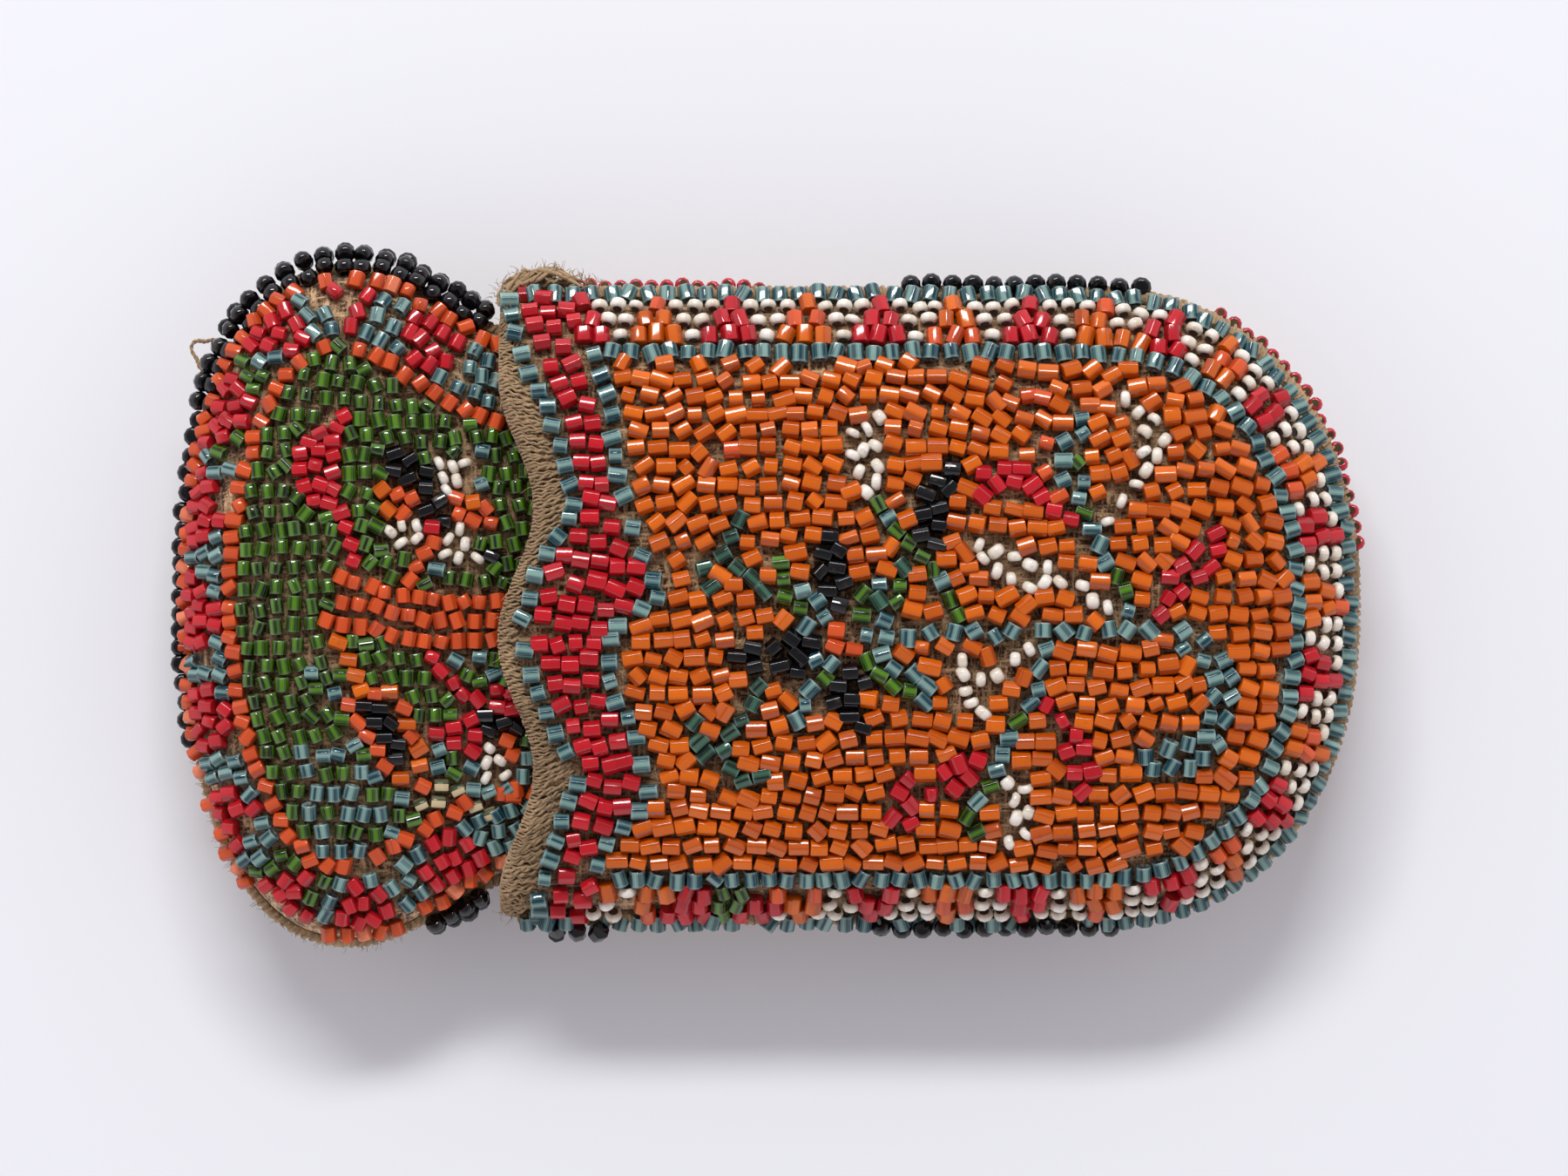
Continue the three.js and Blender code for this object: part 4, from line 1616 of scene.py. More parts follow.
@dataclass
class Sleeve(Half):
    """The outer half, with its closed end to the right.

    Attributes:
        end_reach: How far the closed end rounds off.
        row_pitch: Distance between rows of the field.
        border: Stops of the border along the seam.
        triangle: Length of one repeat of the border's triangles.
        triangle_rows: Half width of a white triangle in each of its rows, as a share of the repeat.
        wave_depth: Depth of the mouth's wave.
        wave_pitch: Length of the mouth's wave.
        wave_middle: Y of the wave's middle.
        mouth_x: X of the wave's middle line.
        seam_start: X at which the seam starts.
        roll: Radius of the rolled edges.
        column_pitch: Distance between beads in a row of the band.
        band_pitch: Distance between the band's rows.
        band_lift: Height over the cloth at which the band's beads are looked for.
        band_clear: Distance that they keep from beads already there.
        left_line: The band's line of beads at the mouth.
        right_line: The band's line of beads at the field.
    """

    body: ClassVar[str] = "sleeve"
    end_reach: float = 26 * MM
    row_pitch: float = 1.78 * MM
    border: Stops = (
        (0.0, 2.0, 9.5, 0.9),
        (0.3, 2.3, 9.5, 0.9),
        (0.4, 3.2, 9.9, 0.8),
        (0.54, 3.0, 9.8, 0.8),
        (0.68, 0.8, 7.3, 1.3),
        (1.01, 0.8, 7.3, 1.3),
    )
    triangle: float = 7.4 * MM
    triangle_rows: tuple[float, float, float] = (0.37, 0.25, 0.13)
    wave_depth: float = 1.75 * MM
    wave_pitch: float = 26 * MM
    wave_middle: float = -3.3 * MM
    mouth_x: float = -24.1 * MM
    seam_start: float = -25.05 * MM
    roll: float = 0.8 * MM
    column_pitch: float = 1.86 * MM
    band_pitch: float = 1.96 * MM
    band_lift: float = 0.8 * MM
    band_clear: float = 1.3 * MM
    left_line: Edge = Edge((
        (-25.5, 33), (-25.8, 29.4), (-24.3, 24.8), (-22.2, 20.9), (-20.5, 16), (-19.3, 10.9), (-19, 8.8),
        (-21.1, 5.5), (-23.1, 1.7), (-24.4, -3.5), (-23, -7.4), (-21.2, -11.4), (-19.4, -15),
        (-18.6, -17.4), (-20.5, -21.6), (-21.7, -25.5), (-23, -29.3), (-23, -33),
    ))
    right_line: Edge = Edge((
        (-22, 33), (-21, 30.4), (-19.6, 27.6), (-18.3, 25.1), (-16.7, 22.5), (-15.4, 17.6), (-14.7, 11.8),
        (-13.9, 9.1), (-12.2, 5.4), (-10.7, 3.2), (-11.1, 1.2), (-12.9, -0.4), (-14.7, -1.9), (-15.4, -4),
        (-15.7, -8.2), (-14.7, -10.9), (-13.4, -12.5), (-11.6, -18.4), (-13.6, -20.8), (-16.6, -24.2),
        (-17.6, -26.8), (-18.4, -29), (-20, -33),
    ))

    def __post_init__(self) -> None:
        """Take the sizes that the frame gives."""
        front_low, front_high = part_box("sleeve_front_cloth")
        back_low, back_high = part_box("sleeve_back_cloth")
        self.seam_z = (front_low.z + back_high.z) / 2
        half = front_high.y
        centre = front_high.x - self.end_reach
        common = {"toward": 1, "seam_z": self.seam_z, "end_centre": centre, "end_reach": self.end_reach}
        common |= {"wide": (half, half), "shoulder": (0.0, 1.0)}
        front_crown = front_high.z - front_low.z
        back_crown = (back_high.z - back_low.z) / self.pressed
        self.front = Skin(side=1, high=(front_crown, front_crown), **common)
        self.back = Skin(side=-1, high=(back_crown, back_crown), pressed=self.pressed, **common)
        self.seam = Seam(self.front, self.seam_start)

    def open_edge(self, y: float) -> float:
        """Give the wavy mouth's x at a plan y; it runs straight to the seams past its last bulges."""
        turn = max(-1.0, min(1.0, (y - self.wave_middle) / self.wave_pitch))
        return self.mouth_x - self.wave_depth * math.cos(2 * math.pi * turn)

    def _border_colour(self, row: int, mark: float) -> Glass:
        """Give the glass of a border bead: white triangles with coloured ones between them.

        Args:
            row: Row from the seam inwards.
            mark: Distance along the seam.

        Returns:
            The glass.
        """
        if row in (0, 4):
            return Glass.TEAL
        period = self.triangle
        place = (mark + 1.2 * MM) % period
        half = self.triangle_rows[row - 1] * period
        whole = round(mark / period)
        green = round((self.seam.walk.length - 21 * MM) / period)
        if abs(place - period / 2) < half:
            return Glass.RED if abs(mark / period - green) < 0.75 else Glass.WHITE
        if whole == green:
            return Glass.GREEN
        return (Glass.ORANGE if (row + whole) % 3 else Glass.EMBER, Glass.RED)[whole % 2]

    def _in_border(self, x: float, y: float, row: int) -> bool:
        """Tell whether the border has a bead at a place: a few are lost along the lower side.

        Args:
            x: Plan place.
            y: Plan place.
            row: Row from the seam inwards.

        Returns:
            True if it has.
        """
        lost = y < -26 * MM and noise.noise(Vector((x, y, row * MM)) * 900) > 0.34
        clear = (0.5 if abs(y) > 26 * MM else 1.4) * MM
        return not lost and (row == 0 or x > self.right_line.at(y) + clear)

    def build_beads(self) -> None:
        """Sew the front: border, band, sprig and field."""
        border = self._work("border", ("sleeve_border_beads",), 11, Play(turn=0.2))
        inner = Border(self.seam, self.border).sew(border, self._border_colour, self._in_border)
        band = self._work("band", ("sleeve_mouth_band_beads",), 12, Play(turn=0.17, size=0.06))
        field_work = self._work("field", ("sleeve_field_beads",), 13, Play(turn=0.24, size=0.07))
        for stroke in SPRIG:
            stroke.sew(field_work, self.front)
        section = across_walk(self.front, 0.0)
        orange = Field(field_work, self.front, self.row_pitch, gap=0.26 * MM, clear=1.56 * MM)
        count = int((section.length - 3 * MM) / self.row_pitch)
        margin = (section.length - count * self.row_pitch) / 2

        def inside(x: float, y: float) -> bool:
            """Tell whether a place belongs to the field."""
            return x > self.right_line.at(y) + 1.5 * MM and inner.holds(x, y)

        self._sew_band(band)
        for index in range(count + 1):
            y = section.at(margin + index * self.row_pitch)[0].y
            start = self.right_line.at(y) + 0.9 * MM
            orange.row(y, start, self.front.end_x(0), only(Glass.ORANGE), inside)
        low, high = Vector((-18 * MM, -27 * MM)), Vector((54 * MM, 27 * MM))
        spots = scattered(field_work.chance, low, high, inside)
        orange.fill(spots, only(Glass.ORANGE), 1.52 * MM)
        for work in (border, band, field_work):
            work.build(self.wardrobe)

    def _sew_band(self, band: BeadWork) -> None:
        """Sew the band at the mouth: rows of red between two lines of teal.

        Args:
            band: The zone.
        """
        section = across_walk(self.front, -20 * MM)
        count = int(section.length / self.band_pitch)
        for index in range(count):
            y = section.at((index + 0.5) * section.length / count)[0].y
            left, right = self.left_line.at(y), self.right_line.at(y)
            slope = (self.left_line.at(y + 1 * MM) - self.left_line.at(y - 1 * MM)) / (2 * MM)
            reds = max(1, round((right - left) / self.column_pitch) - 1)
            for column in range(reds + 2):
                teal = column == 0 or column > reds and -26.5 * MM < y < 24.8 * MM
                x = between(left, right, column / (reds + 1)) + band.chance.uniform(-0.06, 0.06) * MM
                aside = (band.chance.uniform(-0.25, 0.25) + 0.45 * (column % 2)) * MM
                aside -= slope * (x - (left + right) / 2) * 0.4
                aside *= self.front.normal(x, y).z
                if not self.ground.taken(self.front.point(x, y + aside, self.band_lift), self.band_clear):
                    lay = Vector((1, -slope * (0.5 if teal else 0.3), 0))
                    band.sew(Glass.TEAL if teal else Glass.RED, self.front, x, y + aside, lay)

    def build_back(self) -> None:
        """Sew the plain back in the rows of the CAD."""
        low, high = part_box("sleeve_back_field_beads")
        work = self._work("back_field", ("sleeve_back_field_beads",), 14, Play(turn=0.1, lean=0.02))
        back = Field(work, self.back, self.row_pitch, gap=0.12 * MM, clear=1.5 * MM)
        for y, end in self._back_rows(low, high, 0.0, self.row_pitch):
            back.row(y, low.x, end, only(Glass.ORANGE), lambda x, y: True)
        work.build(self.wardrobe)

    def build_edging(self) -> None:
        """Sew the strings of beads along the seam."""
        length = self.seam.walk.length
        stretches = (
            ("top_black", "sleeve_top_black_edging", 0.192, 0.31, Glass.JET, 31),
            ("bottom_black", "sleeve_bottom_black_edging", 0.711, 0.827, Glass.JET, 32),
            ("corner_black", "sleeve_corner_black_edging", 0.96, 0.993, Glass.BLACK, 35),
            ("top_red", "sleeve_top_red_edging", 0.02, 0.12, Glass.GARNET, 33),
            ("end_red", "sleeve_end_red_edging", 0.342, 0.471, Glass.GARNET, 34),
        )
        for name, node, start, end, glass, seed in stretches:
            work = self._work(name, (node,), seed, Play(roll=3.0))
            spacing = GLASSES[glass].width * (1.4 if glass is Glass.BLACK else 1.03)
            stray = 0.45 if glass is Glass.BLACK else 0.0
            angles = (-0.1,) if glass is Glass.GARNET else (0.3, -0.5)
            proud = {Glass.GARNET: 1.5, Glass.BLACK: 2.3}.get(glass, 1.8) * MM
            beads = int((end - start) * length / spacing)
            for bead in range(beads + 1):
                mark = start * length + (bead + work.chance.uniform(-stray, stray)) * spacing
                edging_stack(work, self.seam, mark, glass, angles, proud)
            work.build(self.wardrobe)

    def build_trim(self) -> None:
        """Make the binding with its stitches, the seam's roll and the frayed fibres."""
        chance = random.Random(41)
        binding = self._strands("binding", 3, nodes=("sleeve_mouth_binding",))
        stitches = self._strands("stitches", 0)
        for skin in (self.front, self.back):
            section = across_walk(skin, self.mouth_x)
            steps = 120
            places = [section.at(section.length * i / steps)[0] for i in range(steps + 1)]
            line = [skin.point(self.open_edge(p.y), p.y, -0.5 * MM) for p in places]
            binding.add(line, self.roll)
            count = int(section.length / (0.33 * MM))
            for index in range(count):
                y = section.at(section.length * (index + 0.5) / count)[0].y
                reach = self.left_line.at(y) - 0.5 * MM if skin.side > 0 else self.open_edge(y) + 3 * MM
                slant = (1.5 * math.sin(y / (4.3 * MM)) + chance.gauss(0.4, 0.5)) * MM
                self._rib(stitches, skin, y, reach + chance.uniform(-0.4, 0.4) * MM, slant, chance)
                for _ in range(2):
                    self._fibre(stitches, skin, y, chance)
        # the roll under the ribs takes the darker thread: painted shade
        binding.build(self.wardrobe.under)
        stitches.build(self.wardrobe.thread)
        self._build_tuft(chance)
        seam = self._strands("seam", 2)
        seam_roll(seam, self.seam, 0.76 * MM, 0.68 * MM, chance)
        seam.build(self.wardrobe.thread)
        fuzz = self._strands("frays", 0)
        for start, end, count in ((0.0, 0.05, 34), (0.0, 1.0, 60), (0.36, 0.57, 110)):
            frays(fuzz, self.seam, start, end, count, chance)
        fuzz.build(self.wardrobe.thread)

    def _rib(
        self, stitches: Strands, skin: Skin, y: float, reach: float, slant: float, chance: random.Random
    ) -> None:
        """Lay one crimped rib of the knitted binding over the mouth's edge.

        Args:
            stitches: The piece.
            skin: The side.
            y: Plan place.
            reach: X at which the rib goes into the cloth.
            slant: How far it runs aside over 4 mm.
            chance: Source of chance.
        """
        edge = self.open_edge(y)
        stops = (
            (edge + 0.7 * MM, -1.3 * MM),
            (edge - 0.75 * MM, -0.75 * MM),
            (edge - 0.75 * MM, 0.0),
            (edge - 0.1 * MM, 0.42 * MM),
            (between(edge, reach, 0.5), 0.3 * MM),
            (reach, 0.0),
        )
        turn = chance.uniform(0, 2 * math.pi)
        line = []
        for (x0, low), (x1, high) in zip(stops, stops[1:]):
            steps = max(2, round(abs(x1 - x0) / (0.16 * MM)))
            for step in range(steps):
                share = step / steps
                x = between(x0, x1, share)
                turn += 0.9
                aside = 0.08 * MM * math.sin(turn) + slant * max(0.0, (x - edge) / (4 * MM))
                lift = between(low, high, share) + 0.12 * MM * math.cos(turn)
                line.append(skin.point(x, y + aside, lift))
        stitches.add(line, chance.uniform(0.12, 0.2) * MM)

    def _build_tuft(self, chance: random.Random) -> None:
        """Twist the loose end of cloth at the mouth's upper corner.

        Args:
            chance: Source of chance.
        """
        tuft = self._strands("tuft", 1)
        height = self.seam_z + 1.2 * MM
        stops = ((-27.2, 30.4), (-26.4, 32), (-25, 33), (-23, 33.4), (-21, 33.3), (-19.2, 32.6), (-17, 31.8))
        line = Walk([Vector((x * MM, y * MM, 0)) for x, y in stops], self.front)
        for _ in range(54):
            strand = []
            start, reach = chance.uniform(0.0, 0.62), chance.uniform(0.2, 0.38)
            phase, twist = chance.uniform(0, 2 * math.pi), chance.uniform(-4, 4)
            wide = chance.uniform(0.2, 1.15) * MM
            for step in range(13):
                share = start + reach * step / 12
                place, _ = line.at(line.length * share)
                turn = phase + twist * step / 12
                swell = math.sin(math.pi * between(0.2, 0.85, share)) * chance.uniform(0.8, 1.2)
                aside = Vector((0, math.cos(turn) - 0.6, math.sin(turn))) * wide * swell
                strand.append(Vector((place.x, place.y, height)) + aside)
            tuft.add(strand, chance.uniform(0.14, 0.32) * MM, taper=0.4)
        for _ in range(200):
            place, _ = line.at(line.length * chance.random() ** 0.6)
            heading = Vector((chance.uniform(-1, 1), chance.uniform(-0.6, 1), chance.uniform(-0.2, 1)))
            start = Vector((place.x, place.y, height)) + heading.normalized() * 0.6 * MM
            wander(tuft, start, heading, chance, 1.1 * MM)
        tuft.build(self.wardrobe.thread)

    def _fibre(self, stitches: Strands, skin: Skin, y: float, chance: random.Random) -> None:
        """Let one loose fibre stand out of the binding.

        Args:
            stitches: The piece.
            skin: The side.
            y: Plan place.
            chance: Source of chance.
        """
        x = self.open_edge(y) + chance.uniform(-0.8, 1.4) * MM
        tip = skin.point(x, y + chance.uniform(-0.4, 0.4) * MM, 0.3 * MM)
        heading = Vector([chance.uniform(-1, 1) for _ in range(3)])
        wander(stitches, tip, heading + skin.normal(tip.x, tip.y) * 0.8, chance)


def edging_stack(
    work: BeadWork, seam: Seam, mark: float, glass: Glass, angles: Sequence[float], proud: float
) -> None:
    """Sew the beads of one stitch over the seam.

    Args:
        work: The zone.
        seam: The seam.
        mark: Distance along the seam.
        glass: Their glass.
        angles: Place of each bead round the seam, radians above its plane.
        proud: Distance of the beads from the seam.
    """
    chance = work.chance
    start, _ = seam.walk.at(mark)
    out = -seam.inward(mark)
    up = Vector((0, 0, 1))
    middle = Vector((start.x, start.y, seam.skin.seam_z))
    for angle in angles:
        angle += chance.gauss(0, 0.12)
        ray = out * math.cos(angle) + up * math.sin(angle)
        hole = up * math.cos(angle) - out * math.sin(angle)
        hole += seam.walk.heading(mark) * chance.gauss(0, 0.2)
        work.set_bead(glass, middle + ray * (proud + chance.gauss(0, 0.14 * MM)), hole, ray)


def seam_roll(strands: Strands, seam: Seam, radius: float, proud: float, chance: random.Random) -> None:
    """Lay the overcast roll along a seam.

    Args:
        strands: The piece.
        seam: The seam.
        radius: Usual radius of the roll.
        proud: How far the roll's middle stands out from the seam.
        chance: Source of chance.
    """
    steps = int(seam.walk.length / (0.9 * MM))
    line = []
    for step in range(steps + 1):
        mark = seam.walk.length * step / steps
        place, _ = seam.walk.at(mark)
        out = -seam.inward(mark) * (proud + chance.uniform(-0.15, 0.15) * MM)
        line.append(Vector((place.x, place.y, seam.skin.seam_z + chance.gauss(0, 0.08) * MM)) + out)
    strands.add(line, radius)
    turns = int(seam.walk.length / (0.75 * MM))
    for turn in range(turns):
        mark = seam.walk.length * (turn + 0.5) / turns
        place, _ = seam.walk.at(mark)
        out, along = -seam.inward(mark), seam.walk.heading(mark)
        wrap = []
        for bend in range(6):
            angle = between(-1.9, 1.9, bend / 5)
            ray = out * math.cos(angle) + Vector((0, 0, 1)) * math.sin(angle)
            drift = along * (between(-0.4, 0.4, bend / 5) + chance.uniform(-0.1, 0.1)) * MM
            centre = Vector((place.x, place.y, seam.skin.seam_z)) + out * proud
            wrap.append(centre + ray * (radius * 1.05) + drift)
        strands.add(wrap, chance.uniform(0.14, 0.22) * MM)


def frays(strands: Strands, seam: Seam, start: float, end: float, count: int, chance: random.Random) -> None:
    """Let loose fibres stand out of a seam.

    Args:
        strands: The piece.
        seam: The seam.
        start: Share of the seam at which they start.
        end: Share of the seam at which they end.
        count: Number of fibres.
        chance: Source of chance.
    """
    for _ in range(count):
        mark = seam.walk.length * chance.uniform(start, end)
        place, _ = seam.walk.at(mark)
        out, along = -seam.inward(mark), seam.walk.heading(mark)
        tip = Vector((place.x, place.y, seam.skin.seam_z)) + out * 0.4 * MM
        heading = out + along * chance.uniform(-1.4, 1.4)
        wander(strands, tip, heading + Vector((0, 0, chance.uniform(-0.2, 0.8))), chance)


def wander(
    strands: Strands, tip: Vector, heading: Vector, chance: random.Random, reach: float = 1.6 * MM
) -> None:
    """Let one fibre curl away from a point.

    Args:
        strands: The piece.
        tip: Where it starts.
        heading: Direction in which it leaves.
        chance: Source of chance.
        reach: Its greatest length.
    """
    curl = Vector([chance.uniform(-1, 1) for _ in range(3)])
    step = reach / 6 * chance.uniform(0.35, 1.0)
    line = [tip.copy()]
    for _ in range(6):
        heading = (heading.normalized() + curl * 0.3).normalized()
        tip = tip + heading * step
        line.append(tip.copy())
    strands.add(line, chance.uniform(0.03, 0.05) * MM, taper=0.4)


@dataclass
class Pocket(Half):
    """The inner half, with its closed head to the left and its tongue in the sleeve.

    Attributes:
        end_reach: How far the head rounds off.
        shoulder_length: Length over which the head narrows to the tongue.
        tongue_half: Half width of the tongue.
        tongue_crowns: Crowns of the tongue in front and behind.
        beads_end: X at which the beads end under the sleeve's mouth.
        row_pitch: Distance between rows of the field.
        back_pitch: Distance between rows of the back.
        border: Stops of the border along the seam.
        triangle: Length of one repeat of the border's triangles.
        triangle_rows: Half width of a red triangle in each of its rows, as a share of the repeat.
        edging_pitch: Usual distance between stacks of the edging.
        worn: X and y of the two places at the lower left where beads are mostly lost, in millimetres.
        worn_reach: How far each of them goes.
    """

    body: ClassVar[str] = "pocket"
    end_reach: float = 16 * MM
    shoulder_length: float = 18 * MM
    tongue_half: float = 26.4 * MM
    tongue_crowns: tuple[float, float] = (6.4 * MM, 4.2 * MM)
    beads_end: float = -16.6 * MM
    row_pitch: float = 1.82 * MM
    back_pitch: float = 1.7 * MM
    border: Stops = (
        (0.0, 3.0, 11.2, 0.7),
        (0.2, 3.0, 10.4, 0.7),
        (0.34, 2.2, 9.0, 0.8),
        (0.5, 1.7, 8.4, 0.8),
        (0.66, 2.0, 9.4, 0.8),
        (0.8, 2.6, 10.4, 0.7),
        (1.01, 3.0, 10.2, 0.7),
    )
    triangle: float = 10.5 * MM
    triangle_rows: tuple[float, float, float] = (0.36, 0.27, 0.14)
    edging_pitch: float = 1.78 * MM
    worn: tuple[Place, ...] = ((-57, -19), (-49, -31))
    worn_reach: float = 4.5 * MM

    def __post_init__(self) -> None:
        """Take the sizes that the frame gives."""
        front_low, front_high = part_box("pocket_front_cloth")
        back_low, back_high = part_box("pocket_back_cloth")
        self.seam_z = (front_low.z + back_high.z) / 2
        self.tongue_x = front_high.x
        centre = front_low.x + self.end_reach
        common = {"toward": -1, "seam_z": self.seam_z, "end_centre": centre, "end_reach": self.end_reach}
        common["wide"] = front_high.y, self.tongue_half
        common["shoulder"] = centre, centre + self.shoulder_length
        front_crown = front_high.z - front_low.z
        back_crown = (back_high.z - back_low.z) / self.pressed
        self.front = Skin(side=1, high=(front_crown, self.tongue_crowns[0]), **common)
        self.back = Skin(side=-1, high=(back_crown, self.tongue_crowns[1]), pressed=self.pressed, **common)
        self.seam = Seam(self.front, self.beads_end)

    def open_edge(self, y: float) -> float:
        """Give the x of the tongue's straight end."""
        return self.tongue_x

    def _border_colour(self, row: int, mark: float) -> Glass:
        """Give the glass of a border bead: red and teal triangles between lines of orange.

        Args:
            row: Row from the seam inwards.
            mark: Distance along the seam.

        Returns:
            The glass.
        """
        if row in (0, 4):
            return Glass.SALMON if row == 0 and int(mark / (1.3 * MM)) % 4 == 0 else Glass.EMBER
        period = self.triangle
        turn, place = divmod(mark, period)
        half = self.triangle_rows[row - 1] * period
        if abs(place - period / 2) < half:
            return Glass.RED
        return Glass.GREEN if turn % 5 == 4 else Glass.TEAL

    def _worn(self, x: float, y: float) -> bool:
        """Tell whether the outer row is mostly lost at a place."""
        return any((Vector((x, y)) - Vector(spot) * MM).length < self.worn_reach for spot in self.worn)

    def build_beads(self) -> None:
        """Sew the front: border, bouquet and field."""
        loose = Play(turn=0.3, shift=0.16 * MM, scale=0.91)
        border = self._work("border", ("pocket_border_beads",), 21, loose)
        field_work = self._work("field", ("pocket_field_beads",), 22, Play(turn=0.16, scale=0.91))

        def keep(x: float, y: float, row: int) -> bool:
            """Tell whether a border bead is still there."""
            return border.chance.random() > (0.6 if row == 0 and self._worn(x, y) else 0.06)

        inner = Border(self.seam, self.border, spacing=1.7 * MM).sew(border, self._border_colour, keep)
        for stroke in BOUQUET:
            stroke.sew(field_work, self.front)
        sizes = {"gap": 0.16 * MM, "clear": 1.42 * MM}
        green = Field(field_work, self.front, self.row_pitch, **sizes, along=False)

        def glass(x: float, y: float) -> Glass:
            """Give the field's glass, with teal mixed in near the foot.

            Args:
                x: Plan place.
                y: Plan place.

            Returns:
                The glass.
            """
            foot = y < -14 * MM and x > -47 * MM
            if not foot or field_work.chance.random() < 0.5:
                return Glass.GREEN
            return Glass.WORN if x > -34 * MM and y < -17 * MM else Glass.TEAL

        section = across_walk(self.front, self.front.end_centre)
        count = int(section.length / self.row_pitch)
        for index in range(count):
            y = section.at((index + 0.5) * section.length / count)[0].y
            green.row(y, self.front.end_x(0), self.beads_end, glass, inner.holds)
        low, high = Vector((-56 * MM, -28 * MM)), Vector((self.beads_end, 28 * MM))
        green.fill(scattered(field_work.chance, low, high, inner.holds), glass, 1.36 * MM)
        border.build(self.wardrobe)
        field_work.build(self.wardrobe)

    def build_back(self) -> None:
        """Sew the plain back in rows."""
        low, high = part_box("pocket_back_field_beads")
        work = self._work("back_field", ("pocket_back_field_beads",), 24, Play(turn=0.1, lean=0.02))
        back = Field(work, self.back, self.back_pitch, gap=0.12 * MM, clear=1.45 * MM)

        def inside(x: float, y: float) -> bool:
            """Tell whether a place keeps clear of the seam."""
            return abs(y) < self.back.half_width(x) - 5 * MM

        for y, start in self._back_rows(low, high, self.back.end_centre, self.back_pitch):
            back.row(y, start, high.x, only(Glass.GREEN), inside)
        work.build(self.wardrobe)

    def build_edging(self) -> None:
        """Sew the black stacks that wrap the head's edge."""
        work = self._work("edging", ("pocket_edging_beads",), 23, Play(roll=3.0))
        length = self.seam.walk.length
        mark = 0.0
        while mark < length:
            mark += self.edging_pitch * work.chance.uniform(0.9, 1.1)
            place, _ = self.seam.walk.at(mark)
            share = mark / length
            if share > 0.8 and -34.5 * MM < place.x < -28.3 * MM:
                angles, proud = (0.8, 0.0, -0.8), 1.8 * MM
            elif 0.36 < share < 0.66 and not self._worn(place.x, place.y):
                angles, proud = (0.05, -0.75), 1.35 * MM
            elif share < 0.4 and place.x < -28 * MM:
                angles, proud = (1.25, 0.5, -0.25), 2.2 * MM
            else:
                continue
            edging_stack(work, self.seam, mark, Glass.JET, angles, proud)
        work.build(self.wardrobe)

    def build_trim(self) -> None:
        """Make the tongue's hem, the seam's roll and the frayed fibres."""
        chance = random.Random(42)
        hem = self._strands("hem", 3, "cloth", ("pocket_tongue_hem",))
        for skin in (self.front, self.back):
            section = across_walk(skin, self.tongue_x)
            places = [section.at(section.length * i / 60)[0] for i in range(61)]
            hem.add([skin.point(self.tongue_x, p.y, -0.5 * MM) for p in places], 0.85 * MM)
        hem.build(self.wardrobe.cloth)
        seam = self._strands("seam", 2)
        seam_roll(seam, self.seam, 0.6 * MM, 0.3 * MM, chance)
        seam.build(self.wardrobe.thread)
        fuzz = self._strands("frays", 0)
        frays(fuzz, self.seam, 0.55, 0.88, 190, chance)
        turns = [between(-2.4, 2.4, step / 40) for step in range(41)]
        for ply in (0.0, math.pi):
            loop = []
            for turn in turns:
                wide = 1.35 + 0.28 * math.sin(3.1 * turn) + 0.11 * math.cos(9 * turn + ply)
                x, y = -56.4 - 0.95 * wide * math.cos(turn), 25.3 + 1.1 * wide * math.sin(turn)
                z = self.seam_z + 0.12 * MM * math.sin(9 * turn + ply)
                loop.append(Vector((x * MM, y * MM, z)))
            fuzz.add(loop, 0.14 * MM)
        frays(fuzz, self.seam, 0.1, 0.9, 30, chance)
        fuzz.build(self.wardrobe.thread)


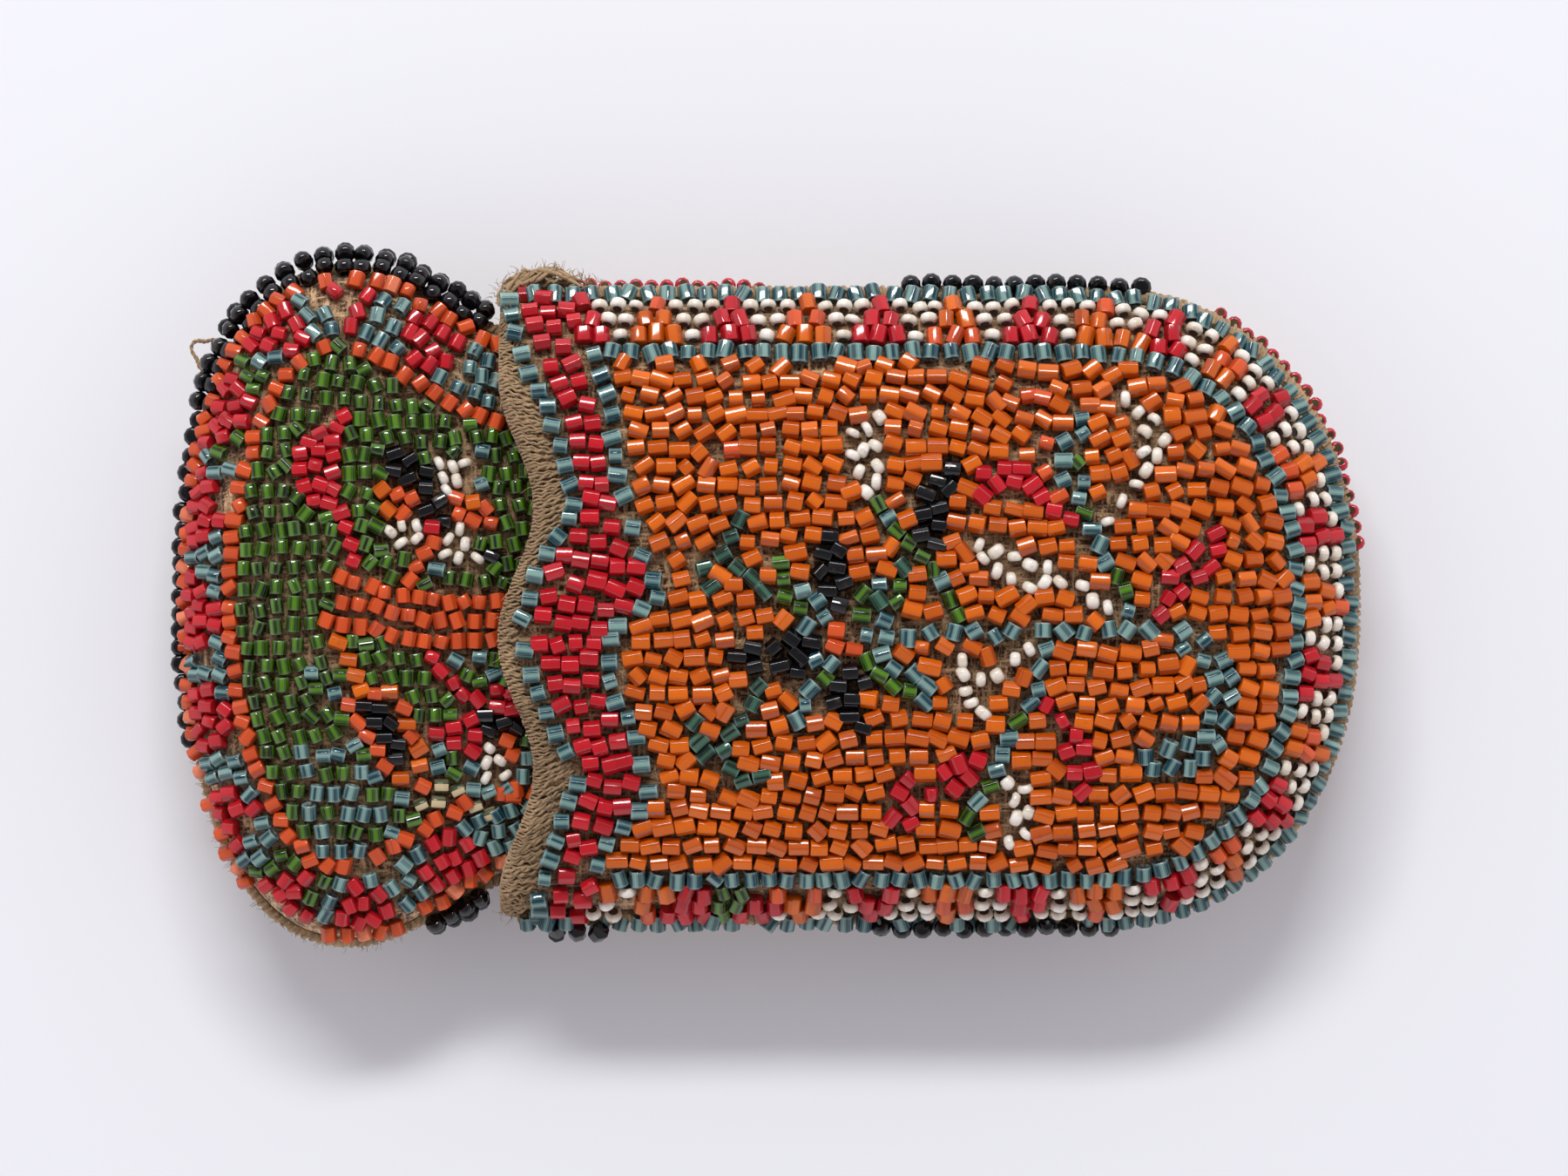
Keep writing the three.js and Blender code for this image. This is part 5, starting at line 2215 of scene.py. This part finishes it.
@dataclass
class Studio:
    """The floor, the light and the camera.

    Attributes:
        floor_colour: Colour of the floor.
        centre: Plan place that the camera looks down on.
        height: Height of the camera.
        lens: Focal length, millimetres.
        lamp_place: Where the lamp hangs.
        lamp_size: Its face across and down, metres.
        lamp_power: Its power, watts.
        room: Strength of the light from all round, level and from overhead.
        room_colour: Colour of that light.
    """

    floor_colour: Rgb = (232, 234, 238)
    centre: tuple[float, float] = (1.62 * MM, 1.75 * MM)
    height: float = 0.72
    lens: float = 162.4
    lamp_place: tuple[float, float, float] = (-0.12, 1.0, 0.98)
    lamp_size: tuple[float, float] = (0.85, 0.17)
    lamp_power: float = 14.4
    room: tuple[float, float] = (1.48, 0.22)
    room_colour: Rgb = (253, 248, 255)

    def build_floor(self) -> None:
        """Lay a plain pale floor."""
        bm = bmesh.new()
        bmesh.ops.create_grid(bm, x_segments=1, y_segments=1, size=3.0)
        mesh = bpy.data.meshes.new("floor")
        bm.to_mesh(mesh)
        bm.free()
        shader = Shader(bpy.data.materials.new("pale_floor"))
        mesh.materials.append(shader.surface({"Base Color": linear(self.floor_colour), "Roughness": 0.9}))
        floor = bpy.data.objects.new("floor", mesh)
        bpy.context.scene.collection.objects.link(floor)

    def build_light(self) -> None:
        """Hang one long soft lamp past the top of the picture and set the room's light."""
        light = bpy.data.lights.new("key", "AREA")
        light.shape = "RECTANGLE"
        light.size, light.size_y = self.lamp_size
        light.energy = self.lamp_power
        lamp = bpy.data.objects.new("key", light)
        lamp.location = self.lamp_place
        lamp.rotation_euler = (-lamp.location).to_track_quat("-Z", "Y").to_euler()
        bpy.context.scene.collection.objects.link(lamp)
        world = bpy.data.worlds.new("room")
        shader = Shader(world)
        place = shader.node("ShaderNodeTexCoord", {}, {}, "Generated")
        height = shader.node("ShaderNodeSeparateXYZ", {}, {"Vector": place}, "Z")
        level, overhead = ([strength * part for part in linear(self.room_colour)] for strength in self.room)
        colour = shader.mix(height, level, overhead)
        shader.end("ShaderNodeOutputWorld", shader.node("ShaderNodeBackground", {}, {"Color": colour}))
        bpy.context.scene.world = world

    def build_camera(self) -> None:
        """Look straight down on the object."""
        camera = bpy.data.objects.new("camera", bpy.data.cameras.new("camera"))
        camera.location = (*self.centre, self.height)
        camera.data.lens = self.lens
        camera.data.clip_start = 0.01
        bpy.context.scene.collection.objects.link(camera)
        bpy.context.scene.camera = camera
        bpy.context.scene.view_settings.view_transform = "Standard"


def main() -> None:
    """Build the pouch and its surroundings."""
    logging.basicConfig(level=logging.INFO, format="%(name)s: %(message)s")
    wardrobe = Wardrobe()
    mould = Mould()
    for half in (Sleeve(mould, wardrobe), Pocket(mould, wardrobe)):
        half.build()
    studio = Studio()
    studio.build_floor()
    studio.build_light()
    studio.build_camera()


if __name__ == "__main__":
    main()
